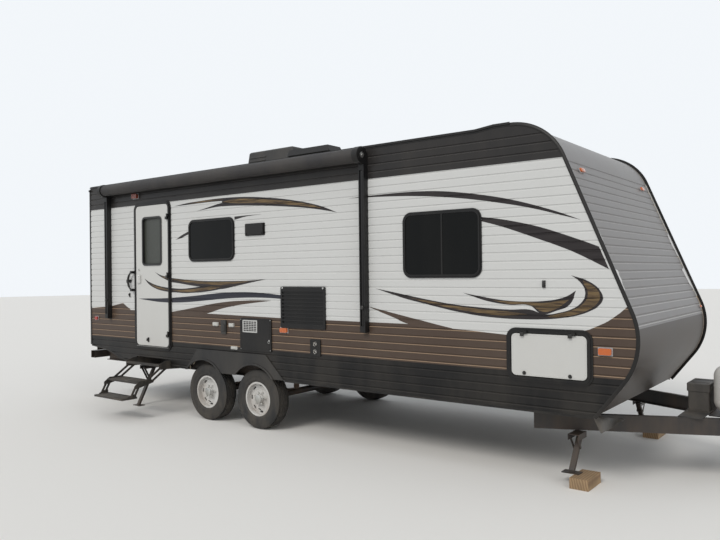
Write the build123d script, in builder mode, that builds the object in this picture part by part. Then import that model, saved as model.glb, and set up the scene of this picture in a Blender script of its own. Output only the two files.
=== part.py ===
import os
from math import atan2, cos, degrees, hypot, radians, sin, tan

from build123d import *

os.makedirs("parts", exist_ok=True)

# A bumper-pull travel trailer. The origin is the centre of the tow ball in the coupler,
# +X points forward, +Y to the road side, +Z up. The curb side, with the door, is at -Y.
# Stations run forward from the outside of the rear wall, heights run up from the ground,
# and levels run up from the underside of the floor, which the wheels and springs set.

# Overall sizes
body_width = 2438.0
ball_station = 8790.0
ball_height = 455.0
roof_height = 3010.0
skirt_drop = 175.0
wall = 45.0
rear_skirt_level = 15.0
rear_skirt_run = 930.0
rear_skirt_drop = 30.0
rear_skirt_share = 0.36

# Nose
nose_rise = 20.0
nose_roof_station = 6818.0
nose_point_station = 7596.0
nose_point_level = 366.0
nose_foot_station = 7175.0
nose_roof_radius = 500.0
nose_point_radius = 550.0
nose_split_station = 6330.0
nose_ramp = 180.0

# Ribbed siding: grooves pressed along the sheets
rib_pitch = 76.2
rib_first_level = -138.0
rib_roof_margin = 25.0
groove_width = 18.0
groove_floor = 7.0
groove_depth = 6.0
nose_ribs_on_tip = 1

# Floor and chassis
floor_thickness = 70.0
rail_center = 860.0
rail_height = 240.0
rail_flange = 90.0
rail_plate = 8.0
rail_front_station = 7050.0
rail_rear_overhang = 118.0
cross_member_stations = (60.0, 900.0, 1850.0, 2865.0, 3850.0, 4900.0, 5900.0, 6990.0)
cross_member_width = 50.0
cross_member_height = 100.0
cross_member_plate = 6.0
outrigger_height = 60.0
tongue_height = 140.0
tongue_flange = 50.0
tongue_plate = 7.0
tongue_start_station = 6570.0
tongue_spread = 125.0
tongue_tip_side = 62.0
tongue_tip_back = 95.0
bumper_size = 102.0
bumper_inset = 119.0
bumper_rise = 45.0
bumper_wall = 4.0
underbelly_thickness = 4.0

# Coupler for a 2-5/16 inch ball, with its latch lever
socket_radius = 29.6
socket_depth = 15.0
coupler_top = 34.0
coupler_nose_radius = 44.0
coupler_dome_radius = 41.0
coupler_dome_top = 48.0
coupler_edge = 10.0
latch_back = 72.0
latch_length = 96.0
latch_width = 20.0
latch_height = 16.0

# Wheels and running gear
axle_stations = (("rear", 2430.0), ("front", 3300.0))
tyre_radius = 344.0
tyre_width = 205.0
tyre_bead_over = 12.0
tyre_shoulder_drop = 18.0
tyre_shoulder_inset = 14.0
tyre_tread_half = 78.0
tyre_sidewall_bulge = 58.0
wheel_inset = 144.0
rim_radius = 205.0
rim_seat_radius = 185.0
rim_width = 164.0
rim_sheet = 8.0
disc_low_radius = 96.0
disc_low_face = 14.0
disc_edge_face = 26.0
disc_edge_back = 12.0
hub_radius = 46.0
hub_foot_face = 24.0
hub_cap_face = 60.0
hub_cap_edge = 8.0
hand_holes = 8
hand_hole_center = 154.0
hand_hole_length = 54.0
hand_hole_width = 22.0
wheel_nuts = 5
wheel_nut_circle = 68.0
wheel_nut_radius = 12.0
wheel_nut_face = 34.0
drum_radius = 132.0
drum_back = 18.0
hub_back = 10.0
spindle_radius = 22.0
axle_tube_radius = 38.0
axle_tube_inset = 145.0
spring_span = 660.0
spring_camber = 48.0
spring_pad = 8.5
spring_seat_length = 70.0
spring_seat_width = 60.0
spring_eye_radius = 17.0
hanger_drop = 70.0
hanger_length = 44.0
leaf_width = 45.0
leaf_thickness = 9.0
leaf_lengths = (660.0, 520.0, 380.0, 240.0)
equalizer_drop = 20.0
equalizer_rise = 12.0
equalizer_top_half = 25.0
arch_gap = 51.0
arch_lip_width = 22.0
arch_lip_proud = 18.0
skirt_panel_level = 90.0
skirt_panel_ends = (325.0, 483.0)
skirt_panel_shoulders = (100.0, 200.0)
skirt_panel_proud = 10.0
wheel_opening_margin = 30.0

# Entry door
door_station = 1104.0
door_width = 676.0
door_height = 1828.0
door_sill = 78.0
door_thickness = 42.0
door_gap = 6.0
door_proud = 16.0
door_frame_width = 45.0
door_flange_proud = 12.0
door_frame_proud = 22.0
door_bead_width = 26.0
door_hinge_out = 38.0
door_corner = 55.0
door_glass_setback = 166.0
door_glass_width = 367.0
door_glass_rise = 1067.0
door_glass_height = 590.0
door_glass_corner = 35.0
door_glass_ring_width = 24.0
door_glass_ring_proud = 26.0
door_latch = (30.0, 815.0, 76.0, 110.0, 34.0, 10.0)
hinge_barrel_radius = 7.0
hinge_leaf = 3 * hinge_barrel_radius
door_hinge_rises = (162.0, 914.0, 1662.0)
door_hinge_length = 70.0

# Baggage doors
bag_station = 6481.0
bag_width = 650.0
bag_height = 356.0
bag_sill = 114.0
bag_thickness = 38.0
bag_frame_width = 42.0
bag_flange_proud = 9.0
bag_proud = 12.0
bag_frame_proud = 16.0
bag_bead_width = 24.0
bag_hinge_out = 27.0
bag_corner = 40.0
bag_hinge_shares = (0.18, 0.82)
bag_hinge_length = 60.0
bag_latch_shares = (0.18, 0.79)
bag_latch_rise = 24.0
bag_latch_radius = 15.0
bag_latch_proud = 20.0

# Windows: side, station, sill level, width, height, share of the width at the divider
windows = (
    ("curb", 2180.0, 1157.0, 830.0, 513.0, 0.0),
    ("curb", 5370.0, 944.0, 836.0, 622.0, 0.515),
    ("road", 5370.0, 944.0, 836.0, 622.0, 0.515),
    ("road", 3350.0, 880.0, 1150.0, 622.0, 0.5),
    ("road", 780.0, 1210.0, 420.0, 380.0, 0.0),
)
window_frame_width = 30.0
window_flange_proud = 10.0
window_frame_proud = 18.0
window_bead_width = 16.0
window_lap = 20.0
window_corner = 92.0
window_divider_width = 16.0
glass_thickness = 6.0

# Wall fittings: station, sill level, width, height, proud, corner
hood_vent = (3193.0, 1435.0, 316.0, 140.0, 24.0, 10.0)
fridge_vent = (3752.0, 408.0, 640.0, 446.0, 16.0, 14.0)
furnace_vent = (4178.0, 125.0, 140.0, 175.0, 14.0, 8.0)
water_heater = (3100.0, 125.0, 500.0, 368.0, 14.0, 16.0)
inlets = (
    (2631.0, 384.0, 89.0, 44.0, 22.0, 8.0),
    (2914.0, 382.0, 76.0, 44.0, 22.0, 8.0),
    (2774.0, 295.0, 86.0, 162.0, 20.0, 12.0),
    (2944.0, 123.0, 102.0, 35.0, 18.0, 8.0),
)
hood_flange = 6.0
hood_flap_inset = 16.0
louvre_border = 26.0
louvre_pitch = 40.0
louvre_slot = 24.0
louvre_depth = 11.0
furnace_port_radius = 24.0
furnace_port_depth = 9.0
grille = (52.0, 210.0, 227.0, 133.0)
grille_slot = 9.0
grille_pitch = 19.0
grille_depth = 8.0

# Lamps on the side walls: station, sill level, width, height, proud
side_lamps = (
    (112.0, 375.0, 60.0, 45.0, 22.0),
    (3740.0, 354.0, 105.0, 50.0, 24.0),
    (7225.0, 330.0, 101.0, 53.0, 24.0),
)
side_lamp_corner = 12.0
porch_lamp_station = 1035.0
porch_lamp_width = 110.0
porch_lamp_proud = 38.0
porch_lamp_rise_share = 0.4921875
porch_lamp_tall_share = 0.46875

# Rear lamps
tail_lamp_inset = 319.0
tail_lamp_level = 230.0
tail_lamp_width = 210.0
tail_lamp_tall = 150.0
tail_lamp_proud = 36.0
tail_lamp_corner = 20.0
top_lamp_drop = 85.0
top_lamp_shares = (-0.87, -0.148, 0.0, 0.148, 0.87)
top_lamp_width = 90.0
top_lamp_tall = 34.0
top_lamp_proud = 22.0

# Roof fittings
air_station = 2230.0
air_length = 900.0
air_width = 690.0
air_height = 390.0
air_top_inset = 60.0
air_corner = 70.0
air_edge = 34.0
air_louvres = 9
air_louvre_width = 420.0
air_louvre_slot = 12.0
air_louvre_pitch = 26.0
air_louvre_first = 60.0
air_louvre_reach = 82.0
fridge_cap = (3680.0, 159.0, 630.0, 280.0)
fridge_cap_base_inset = 25.0
fridge_cap_base_height = 85.0
fridge_cap_lid_height = 70.0
fridge_cap_taper = 34.0
roof_hatches = ((1150.0, 250.0), (5300.0, -200.0))
hatch_size = 400.0
hatch_curb_inset = 25.0
hatch_curb_height = 45.0
hatch_lid_height = 48.0
hatch_taper = 45.0
hatch_corner = 30.0
roof_pipe_places = ((1650.0, 800.0), (4700.0, 820.0), (6000.0, 500.0))
roof_pipe_radius = 38.0
roof_pipe_height = 90.0
roof_pipe_cap_radius = 58.0
roof_pipe_cap_height = 24.0

# Awning
awning_radius = 75.0
awning_out = 95.0
awning_roof_drop = 70.0
awning_head_radius = 85.0
awning_arms = ((450.0, 61.0), (4890.0, 65.0))
awning_arm_depth = 70.0
awning_arm_bottom = 410.0
awning_arm_lip = 12.0
awning_arm_channel = 22.0
awning_arm_end = 60.0

# Grab handle: a loop folded flat beside the door, and the catch that holds its middle
handle_foot_station = 1032.0
handle_reach = 74.0
handle_sill = 802.0
handle_height = 236.0
handle_out = 46.0
handle_radius = 11.0
handle_foot_radius = 18.0
handle_catch = (928.0, 898.0, 44.0, 44.0)

# Gas bottles, battery and rack
bottle_radius = 155.0
bottle_height = 440.0
bottle_dome = 90.0
bottle_foot_radius = 108.0
bottle_foot_height = 30.0
bottle_collar_radius = 96.0
bottle_collar_height = 118.0
bottle_collar_sheet = 4.0
bottle_collar_window = (110.0, 52.0)
bottle_valve_radius = 24.0
bottle_valve_height = 78.0
bottle_station = 8010.0
bottle_side = 165.0
rack_thickness = 8.0
rack_length = 340.0
rack_width = 640.0
battery_station = 7730.0
battery_length = 190.0
battery_width = 330.0
battery_height = 235.0
battery_lid_over = 8.0
battery_lid_height = 70.0
battery_corner = 15.0

# Tongue jack
jack_station = 8470.0
jack_tube_radius = 30.0
jack_leg_radius = 25.0
jack_tube_drop = 210.0
jack_tube_rise = 320.0
jack_leg_overlap = 235.0
jack_foot_radius = 65.0
jack_foot_thickness = 10.0
jack_plate_thickness = 12.0
jack_plate_half = 90.0
jack_head_radius = 42.0
jack_head_height = 62.0
jack_crank_radius = 8.0
jack_crank_rise = 30.0
jack_crank_reach = 190.0
jack_crank_grip = 95.0
jack_crank_bend = 20.0

# Folding entry steps, in the plane across the trailer, from the pivot of the upper links
step_station = 1435.0
step_pivot_out = 145.0
step_upper_run = (-211.0, -140.0)
step_upper_spacing = (100.0, 0.0)
step_lower_pivot = (-137.0, -62.0)
step_lower_pin = (-200.0, -175.0)
step_lower_spacing = (60.0, 20.0)
step_base_inner = 345.0
step_plate = 6.0
step_layer = 12.0
step_link_width = 28.0
step_pin_radius = 8.0
step_pin_end = 1.0
step_board_front = 110.0
step_board_rear = 125.0
step_lower_board_rear = 100.0
step_board_thickness = 22.0
step_board_sheet = 4.0
step_bar_half = 20.0
step_bar_rise = 19.0
step_bar_height = 28.0
step_rail_bar = 30.0
step_rail_bar_rise = 35.0
step_notch_rise = 95.0
step_notch_half = 365.0

# Outline of the step base plates from the pivot: across and up, after the two rail corners
step_base_rail_rise = (-45.0, 85.0)
step_base_outline = ((74.0, 85.0), (-26.0, 50.0), (-26.0, -17.0), (134.0, -23.0))

# Cheeks of the two treads from their own pins: across and up
upper_cheek_outline = (
    (118.0, 14.0), (-80.0, 14.0), (-155.0, -40.0), (-155.0, -80.0), (-60.0, -64.0), (118.0, -24.0),
)
lower_cheek_outline = (
    (85.0, 36.0), (35.0, 36.0), (-40.0, 8.0), (-40.0, -22.0), (85.0, -22.0),
)

# Corner stabilizers: name, side, station, on the A-frame, leg angle, outer pivot from the rail
stabilizers = (
    ("curb_front", -1, 6935.0, True, 53.0, 146.0),
    ("road_front", 1, 6935.0, True, 53.0, 146.0),
    ("curb_rear", -1, 900.0, False, 62.0, 140.0),
    ("road_rear", 1, 900.0, False, 62.0, 140.0),
)
stabilizer_knee_share = 0.36
stabilizer_drop = 32.0
stabilizer_leg_width = 46.0
stabilizer_leg_depth = 30.0
stabilizer_leg_sheet = 4.0
stabilizer_strap = 5.0
stabilizer_strap_inner = 28.0
stabilizer_strap_width = 26.0
stabilizer_channel_half = 42.0
stabilizer_channel_plate = 5.0
stabilizer_channel_depth = 50.0
stabilizer_channel_outer = 20.0
stabilizer_channel_inner = 30.0
stabilizer_pin_radius = 6.0
stabilizer_foot = (90.0, 150.0, 8.0)
pad_length = 157.0
pad_width = 300.0
pad_height = 89.0
pad_forward = 110.0

# Clearances
running_gap = 0.05
seat_gap = 0.3
open_pivot_gap = 0.5
rest_gap = 0.3
slide_gap = 3.0

# Worked out
half_width = body_width / 2
inner_half = half_width - wall
leaf_pack = len(leaf_lengths) * leaf_thickness
spring_center_height = (
    tyre_radius + axle_tube_radius + spring_pad + leaf_pack - leaf_thickness / 2
)
spring_eye_height = spring_center_height + spring_camber
rail_bottom = spring_eye_height + hanger_drop
floor_bottom = rail_bottom + rail_height
skirt_height = floor_bottom - skirt_drop
rear_skirt_height = floor_bottom + rear_skirt_level
nose_roof_height = roof_height + nose_rise
nose_point_height = floor_bottom + nose_point_level
rail_web_inner = rail_center - rail_plate / 2
tongue_bottom = rail_bottom - tongue_height
tongue_start_side = rail_center + tongue_spread
tongue_slope = (tongue_start_side - tongue_tip_side) / (
    ball_station - tongue_tip_back - tongue_start_station
)
wheel_side = half_width - wheel_inset
axle_tube_half = wheel_side - axle_tube_inset
rear_axle_station, front_axle_station = (station for name, station in axle_stations)
arch_radius = tyre_radius + arch_gap
skirt_panel_top = floor_bottom + skirt_panel_level
side_sign = {"curb": -1, "road": 1}


def X(station):
    """Forward position of a station."""
    return station - ball_station


def Z(height):
    """Position of a height above the ground."""
    return height - ball_height


def save(piece, label):
    piece.part.label = label
    export_step(piece.part, f"parts/{label}.step")


def side_plane(side, out):
    """A drawing plane beside a side wall, x forward and y up; side is -1 at the curb."""
    return Plane(origin=(0, side * (half_width + out), 0), x_dir=(1, 0, 0), z_dir=(0, -1, 0))


def side_plate(side, near, far, station, sill, width, height, corner=0.0, mode=Mode.ADD):
    """A plate on a side wall by its sill level, between two distances out from the skin."""
    with BuildSketch(side_plane(side, near)) as outline:
        with Locations((X(station + width / 2), Z(floor_bottom + sill + height / 2))):
            if corner:
                RectangleRounded(width, height, corner)
            else:
                Rectangle(width, height)
    extrude(outline.sketch, amount=-side * (far - near), mode=mode)


def side_ring(side, near, far, station, sill, width, height, corner, rim, mode=Mode.ADD):
    """A rounded frame on a side wall, of one rim width outside the given opening."""
    with BuildSketch(side_plane(side, near)) as outline:
        with Locations((X(station + width / 2), Z(floor_bottom + sill + height / 2))):
            RectangleRounded(width + 2 * rim, height + 2 * rim, corner + rim)
            RectangleRounded(width, height, corner, mode=Mode.SUBTRACT)
    extrude(outline.sketch, amount=-side * (far - near), mode=mode)


def side_slots(side, near, far, station, sill, width, height, slot, pitch):
    """Rows of horizontal slots cut into a wall fitting, centred in the given window."""
    rows = int(height // pitch)
    with BuildSketch(side_plane(side, near)) as outline:
        with Locations((X(station + width / 2), Z(floor_bottom + sill + height / 2))):
            with GridLocations(width, pitch, 1, rows):
                Rectangle(width, slot)
    extrude(outline.sketch, amount=-side * (far - near), mode=Mode.SUBTRACT)


def block(station, side, height, length, width, tall, mode=Mode.ADD):
    """A box by its rearmost station, lowest side position and lowest height."""
    with BuildSketch(Plane.XY.offset(Z(height))) as base:
        with Locations((X(station + length / 2), side + width / 2)):
            Rectangle(length, width)
    extrude(base.sketch, amount=tall, mode=mode)


def tapered_lid(station, side, height, length, width, tall, taper, corner):
    """A lid that narrows upwards, by the corner of its base."""
    with BuildSketch(Plane.XY.offset(Z(height))) as base:
        with Locations((X(station + length / 2), side + width / 2)):
            RectangleRounded(length, width, corner)
    extrude(base.sketch, amount=tall, taper=degrees(atan2(taper, tall)))


def post(station, side, height, radius, tall, mode=Mode.ADD):
    """An upright round post by the middle of its foot."""
    with Locations((X(station), side, Z(height))):
        Cylinder(radius, tall, align=(Align.CENTER, Align.CENTER, Align.MIN), mode=mode)


def cross_rod(first, last, place, radius, mode=Mode.ADD):
    """A round rod along X at a place (side, height), between two positions."""
    with BuildSketch(Plane.YZ.offset(first)) as base:
        with Locations((place[0], Z(place[1]))):
            Circle(radius)
    extrude(base.sketch, amount=last - first, mode=mode)


def cross_bar(first, last, start, end, width, mode=Mode.ADD):
    """A round-ended bar between two places (side, height), between two positions along X."""
    run = (end[0] - start[0], end[1] - start[1])
    with BuildSketch(Plane.YZ.offset(first)) as base:
        with Locations(((start[0] + end[0]) / 2, Z((start[1] + end[1]) / 2))):
            SlotCenterToCenter(hypot(*run), width, rotation=degrees(atan2(run[1], run[0])))
    extrude(base.sketch, amount=last - first, mode=mode)


def cross_plate(first, last, corners, mode=Mode.ADD):
    """A plate across the trailer, by its corners (side, height), between two positions."""
    with BuildSketch(Plane.YZ.offset(first)) as base:
        with BuildLine():
            Polyline(*[(side, Z(height)) for side, height in corners], close=True)
        make_face()
    extrude(base.sketch, amount=last - first, mode=mode)


def sum_of(first, second):
    return (first[0] + second[0], first[1] + second[1])


# Side silhouette of the body, and the same inside its walls
with BuildSketch(Plane.XZ) as body_outline:
    with BuildLine():
        Polyline(
            (X(0), Z(rear_skirt_height)),
            (X(rear_skirt_run * rear_skirt_share), Z(rear_skirt_height - rear_skirt_drop)),
            (X(rear_skirt_run), Z(skirt_height)),
            (X(nose_foot_station), Z(skirt_height)),
            (X(nose_point_station), Z(nose_point_height)),
            (X(nose_roof_station), Z(nose_roof_height)),
            (X(nose_split_station), Z(nose_roof_height)),
            (X(nose_split_station - nose_ramp), Z(roof_height)),
            (X(0), Z(roof_height)),
            close=True,
        )
    make_face()
    nose_point = body_outline.vertices().sort_by(Axis.X)[-1]
    fillet(nose_point, nose_point_radius)
    nose_brow = body_outline.vertices().filter_by(
        lambda v: abs(v.X - X(nose_roof_station)) < 1 and v.Y > 0
    )
    fillet(nose_brow, nose_roof_radius)

with BuildSketch(Plane.XZ) as body_inside:
    add(body_outline.sketch_local)
    offset(amount=-wall, kind=Kind.INTERSECTION)

# Heights of the grooves on the side and rear walls
rib_heights = []
rib_height = floor_bottom + rib_first_level
while rib_height < roof_height - rib_roof_margin:
    rib_heights.append(rib_height)
    rib_height += rib_pitch

# Outline of the panel over the wheels, by station and height
skirt_panel = (
    (rear_axle_station - skirt_panel_ends[0], skirt_height),
    (rear_axle_station - skirt_panel_shoulders[0], skirt_panel_top),
    (front_axle_station + skirt_panel_shoulders[1], skirt_panel_top),
    (front_axle_station + skirt_panel_ends[1], skirt_height),
)


skirt_panel_corners = [(X(station), Z(height)) for station, height in skirt_panel]


# Side walls, with their ribs and the openings for windows, doors, wheels and steps
for name, side in side_sign.items():
    with BuildPart() as side_wall:
        with BuildSketch(side_plane(side, 0)):
            add(body_outline.sketch_local)
        extrude(amount=side * wall)
        with BuildSketch(Plane.YZ.offset(X(0))) as grooves:
            for height in rib_heights:
                with BuildLine():
                    Polyline(
                        (side * half_width, Z(height - groove_width / 2)),
                        (side * (half_width - groove_depth), Z(height - groove_floor / 2)),
                        (side * (half_width - groove_depth), Z(height + groove_floor / 2)),
                        (side * half_width, Z(height + groove_width / 2)),
                        close=True,
                    )
                make_face()
        extrude(grooves.sketch, amount=nose_point_station, mode=Mode.SUBTRACT)
        for window_name, station, sill, width, height, share in windows:
            if window_name == name:
                side_plate(
                    side, -wall, 0, station + window_lap, sill + window_lap,
                    width - 2 * window_lap, height - 2 * window_lap,
                    window_corner - window_lap, Mode.SUBTRACT,
                )
        side_plate(
            side, -wall, 0, bag_station - door_gap, bag_sill - door_gap,
            bag_width + 2 * door_gap, bag_height + 2 * door_gap,
            bag_corner + door_gap, Mode.SUBTRACT,
        )
        with BuildSketch(side_plane(side, 0)):
            with BuildLine():
                Polyline(*skirt_panel_corners, close=True)
            make_face()
            offset(amount=-wheel_opening_margin, kind=Kind.INTERSECTION)
            with Locations((X((skirt_panel[1][0] + skirt_panel[2][0]) / 2), Z(skirt_height))):
                Rectangle(
                    skirt_panel[3][0] - skirt_panel[0][0] - 4 * wheel_opening_margin,
                    4 * wheel_opening_margin,
                )
        extrude(amount=side * wall, mode=Mode.SUBTRACT)
        if name == "curb":
            side_plate(
                side, -wall, 0, door_station - door_gap, door_sill - door_gap,
                door_width + 2 * door_gap, door_height + 2 * door_gap,
                door_corner + door_gap, Mode.SUBTRACT,
            )
            side_plate(
                side, -wall, 0, step_station - step_notch_half, -skirt_drop - wall,
                2 * step_notch_half, step_notch_rise + wall, mode=Mode.SUBTRACT,
            )
    save(side_wall, f"{name}_side_wall")

# The nose's slanted line: its length, direction and the straight run between its fillets
nose_run = nose_roof_station - nose_point_station
nose_climb = nose_roof_height - nose_point_height
nose_slant = hypot(nose_run, nose_climb)
nose_up = (nose_run / nose_slant, nose_climb / nose_slant)
nose_out = (nose_up[1], -nose_up[0])
foot_run = nose_point_station - nose_foot_station
foot_climb = nose_point_height - skirt_height
tip_turn = atan2(nose_climb, nose_run) - atan2(foot_climb, foot_run)
tip_tangent = nose_point_radius * tan(tip_turn / 2)
brow_turn = atan2(0, -1) - atan2(nose_climb, nose_run)
brow_tangent = nose_roof_radius * tan(brow_turn / 2)
nose_straight = nose_slant - tip_tangent - brow_tangent


def nose_groove(distance):
    """Corners of a groove across the nose, by its distance down the skin from the brow."""
    along = nose_slant - brow_tangent - min(distance, nose_straight)
    turn = max(distance - nose_straight, 0) / nose_point_radius
    out = (
        nose_out[0] * cos(turn) + nose_out[1] * sin(turn),
        nose_out[1] * cos(turn) - nose_out[0] * sin(turn),
    )
    foot = (
        nose_point_station + nose_up[0] * along + nose_point_radius * (out[0] - nose_out[0]),
        nose_point_height + nose_up[1] * along + nose_point_radius * (out[1] - nose_out[1]),
    )
    up = (-out[1], out[0])
    shape = (
        (groove_depth, -groove_width), (-groove_depth, -groove_floor / 2),
        (-groove_depth, groove_floor / 2), (groove_depth, groove_width),
    )
    return [
        (
            X(foot[0] + out[0] * rise + up[0] * shift),
            Z(foot[1] + out[1] * rise + up[1] * shift),
        )
        for rise, shift in shape
    ]


# Roof, front wall and rear wall, between the side walls
with BuildSketch(Plane.XZ) as shell_ring:
    add(body_outline.sketch_local)
    add(body_inside.sketch_local, mode=Mode.SUBTRACT)

shell_cuts = (
    ("rear_wall", 0.0, wall, rear_skirt_height, roof_height),
    ("roof", wall, nose_split_station, roof_height - 4 * wall, nose_roof_height),
    ("front_wall", nose_split_station, nose_point_station, skirt_height, nose_roof_height),
)
for name, rear, front, low, high in shell_cuts:
    with BuildPart() as shell:
        with BuildSketch(Plane.XZ.offset(-inner_half)):
            add(shell_ring.sketch_local)
            with Locations((X((rear + front) / 2), Z((low + high) / 2))):
                Rectangle(front - rear, high - low, mode=Mode.INTERSECT)
            if name == "front_wall":
                with Locations((X(rear), Z(skirt_height))):
                    Rectangle(
                        nose_foot_station - rear, roof_height / 2 - skirt_height,
                        align=(Align.MIN, Align.MIN), mode=Mode.SUBTRACT,
                    )
                for count in range(int(nose_straight // rib_pitch) + nose_ribs_on_tip + 1):
                    with BuildLine():
                        Polyline(*nose_groove((count + 0.5) * rib_pitch), close=True)
                    make_face(mode=Mode.SUBTRACT)
            if name == "rear_wall":
                for height in rib_heights:
                    if height > rear_skirt_height + groove_width:
                        with BuildLine():
                            Polyline(
                                (X(0), Z(height - groove_width / 2)),
                                (X(groove_depth), Z(height - groove_floor / 2)),
                                (X(groove_depth), Z(height + groove_floor / 2)),
                                (X(0), Z(height + groove_width / 2)),
                                close=True,
                            )
                        make_face(mode=Mode.SUBTRACT)
        extrude(amount=2 * inner_half)
    save(shell, name)

with BuildPart() as floor:
    with BuildSketch(Plane.XZ.offset(-inner_half)):
        add(body_inside.sketch_local)
        with Locations((X(nose_point_station / 2), Z(floor_bottom + floor_thickness / 2))):
            Rectangle(2 * nose_point_station, floor_thickness, mode=Mode.INTERSECT)
    extrude(amount=2 * inner_half)
save(floor, "floor")


def tongue_strip(side, height, thickness, depth):
    """One plate of a tongue rail, drawn in plan and cut square at both ends."""
    tip = ball_station - tongue_tip_back
    inward = depth / cos(atan2(tongue_slope, 1))
    with BuildSketch(Plane.XY.offset(Z(height))) as plan:
        with BuildLine():
            Polyline(
                (X(tongue_start_station), side * tongue_start_side),
                (X(tip), side * tongue_tip_side),
                (X(tip), side * (tongue_tip_side - inward)),
                (X(tongue_start_station), side * (tongue_start_side - inward)),
                close=True,
            )
        make_face()
    extrude(plan.sketch, amount=thickness)


# Chassis: two main rails, pressed cross members, outriggers and the A-frame below them
cross_member_bottom = floor_bottom - cross_member_height
with BuildPart() as chassis_frame:
    rail_length = rail_front_station + rail_rear_overhang
    for side in side_sign.values():
        for bottom in (rail_bottom, floor_bottom - rail_plate):
            block(
                -rail_rear_overhang, side * rail_center - rail_flange / 2, bottom,
                rail_length, rail_flange, rail_plate,
            )
        block(
            -rail_rear_overhang, side * rail_center - rail_plate / 2, rail_bottom,
            rail_length, rail_plate, rail_height,
        )
        for station in cross_member_stations:
            reach = inner_half - rail_center
            block(
                station, side * rail_center - (reach if side < 0 else 0),
                floor_bottom - outrigger_height, rail_plate, reach, outrigger_height,
            )
        tongue_strip(side, tongue_bottom, tongue_height, tongue_plate)
        tongue_strip(side, tongue_bottom, tongue_plate, tongue_flange)
        tongue_strip(side, rail_bottom - tongue_plate, tongue_plate, tongue_flange)
    for station in cross_member_stations:
        block(
            station, -rail_center, cross_member_bottom,
            cross_member_plate, 2 * rail_center, cross_member_height,
        )
        for bottom in (cross_member_bottom, floor_bottom - cross_member_plate):
            block(
                station, -rail_center, bottom,
                cross_member_width, 2 * rail_center, cross_member_plate,
            )
    jack_gap = tongue_start_side - (jack_station - tongue_start_station) * tongue_slope
    block(
        jack_station - jack_plate_half, -jack_gap, rail_bottom,
        2 * jack_plate_half, 2 * jack_gap, jack_plate_thickness,
    )
    with Locations((X(jack_station), 0, Z(rail_bottom + jack_plate_thickness / 2))):
        Cylinder(jack_tube_radius, 2 * jack_plate_thickness, mode=Mode.SUBTRACT)
save(chassis_frame, "chassis_frame")

with BuildPart() as underbelly:
    block(
        cross_member_stations[0] + cross_member_width, -rail_web_inner, rail_bottom + rail_plate,
        rail_front_station - cross_member_stations[0] - cross_member_width,
        2 * rail_web_inner, underbelly_thickness,
    )
save(underbelly, "underbelly")

bumper_half = half_width - bumper_inset
with BuildPart() as bumper:
    with BuildSketch(Plane.XZ.offset(-bumper_half)):
        with Locations(
            (X(-rail_rear_overhang - bumper_size / 2), Z(rail_bottom + bumper_rise + bumper_size / 2))
        ):
            Rectangle(bumper_size, bumper_size)
            Rectangle(
                bumper_size - 2 * bumper_wall, bumper_size - 2 * bumper_wall, mode=Mode.SUBTRACT
            )
    extrude(amount=2 * bumper_half)
save(bumper, "bumper")

# Coupler: a pressed nose over the ball, widening back to the A-frame, with its latch lever
with BuildPart() as coupler:
    with BuildSketch(Plane.XY.offset(-socket_depth)):
        with BuildLine():
            Polyline(
                (-tongue_tip_back, -tongue_tip_side),
                (-tongue_tip_back, tongue_tip_side),
                (0, coupler_nose_radius),
                (0, -coupler_nose_radius),
                close=True,
            )
        make_face()
        Circle(coupler_nose_radius)
    extrude(amount=socket_depth + coupler_top)
    fillet(coupler.faces().sort_by(Axis.Z)[-1].edges(), radius=coupler_edge)
    with BuildSketch(Plane.XY.offset(coupler_top)):
        Circle(coupler_dome_radius - coupler_edge)
    extrude(amount=coupler_dome_top - coupler_top, taper=20)
    with BuildSketch(Plane.XZ.offset(-latch_width / 2)):
        with BuildLine():
            Polyline(
                (-latch_back, coupler_top),
                (-latch_back, coupler_top + latch_height),
                (latch_length - latch_back - latch_height, coupler_top + latch_height),
                (latch_length - latch_back, coupler_top + latch_height / 2),
                (latch_length - latch_back, coupler_top),
                close=True,
            )
        make_face()
    extrude(amount=latch_width)
    Sphere(socket_radius, mode=Mode.SUBTRACT)
    with Locations((0, 0, -socket_depth)):
        Cylinder(
            socket_radius, socket_depth, mode=Mode.SUBTRACT,
            align=(Align.CENTER, Align.CENTER, Align.MIN),
        )
save(coupler, "coupler")

# Axles: tube, spring pads and spindles
with BuildPart() as axles:
    for name, station in axle_stations:
        with BuildSketch(Plane.XZ.offset(-axle_tube_half)) as tube:
            with Locations((X(station), Z(tyre_radius))):
                Circle(axle_tube_radius)
        extrude(tube.sketch, amount=2 * axle_tube_half, mode=Mode.ADD)
        with BuildSketch(Plane.XZ.offset(-wheel_side)) as spindle:
            with Locations((X(station), Z(tyre_radius))):
                Circle(spindle_radius)
        extrude(spindle.sketch, amount=2 * wheel_side, mode=Mode.ADD)
        for side in side_sign.values():
            block(
                station - spring_seat_length / 2, side * rail_center - spring_seat_width / 2,
                tyre_radius, spring_seat_length, spring_seat_width, axle_tube_radius + spring_pad,
            )
save(axles, "axles")

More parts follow.
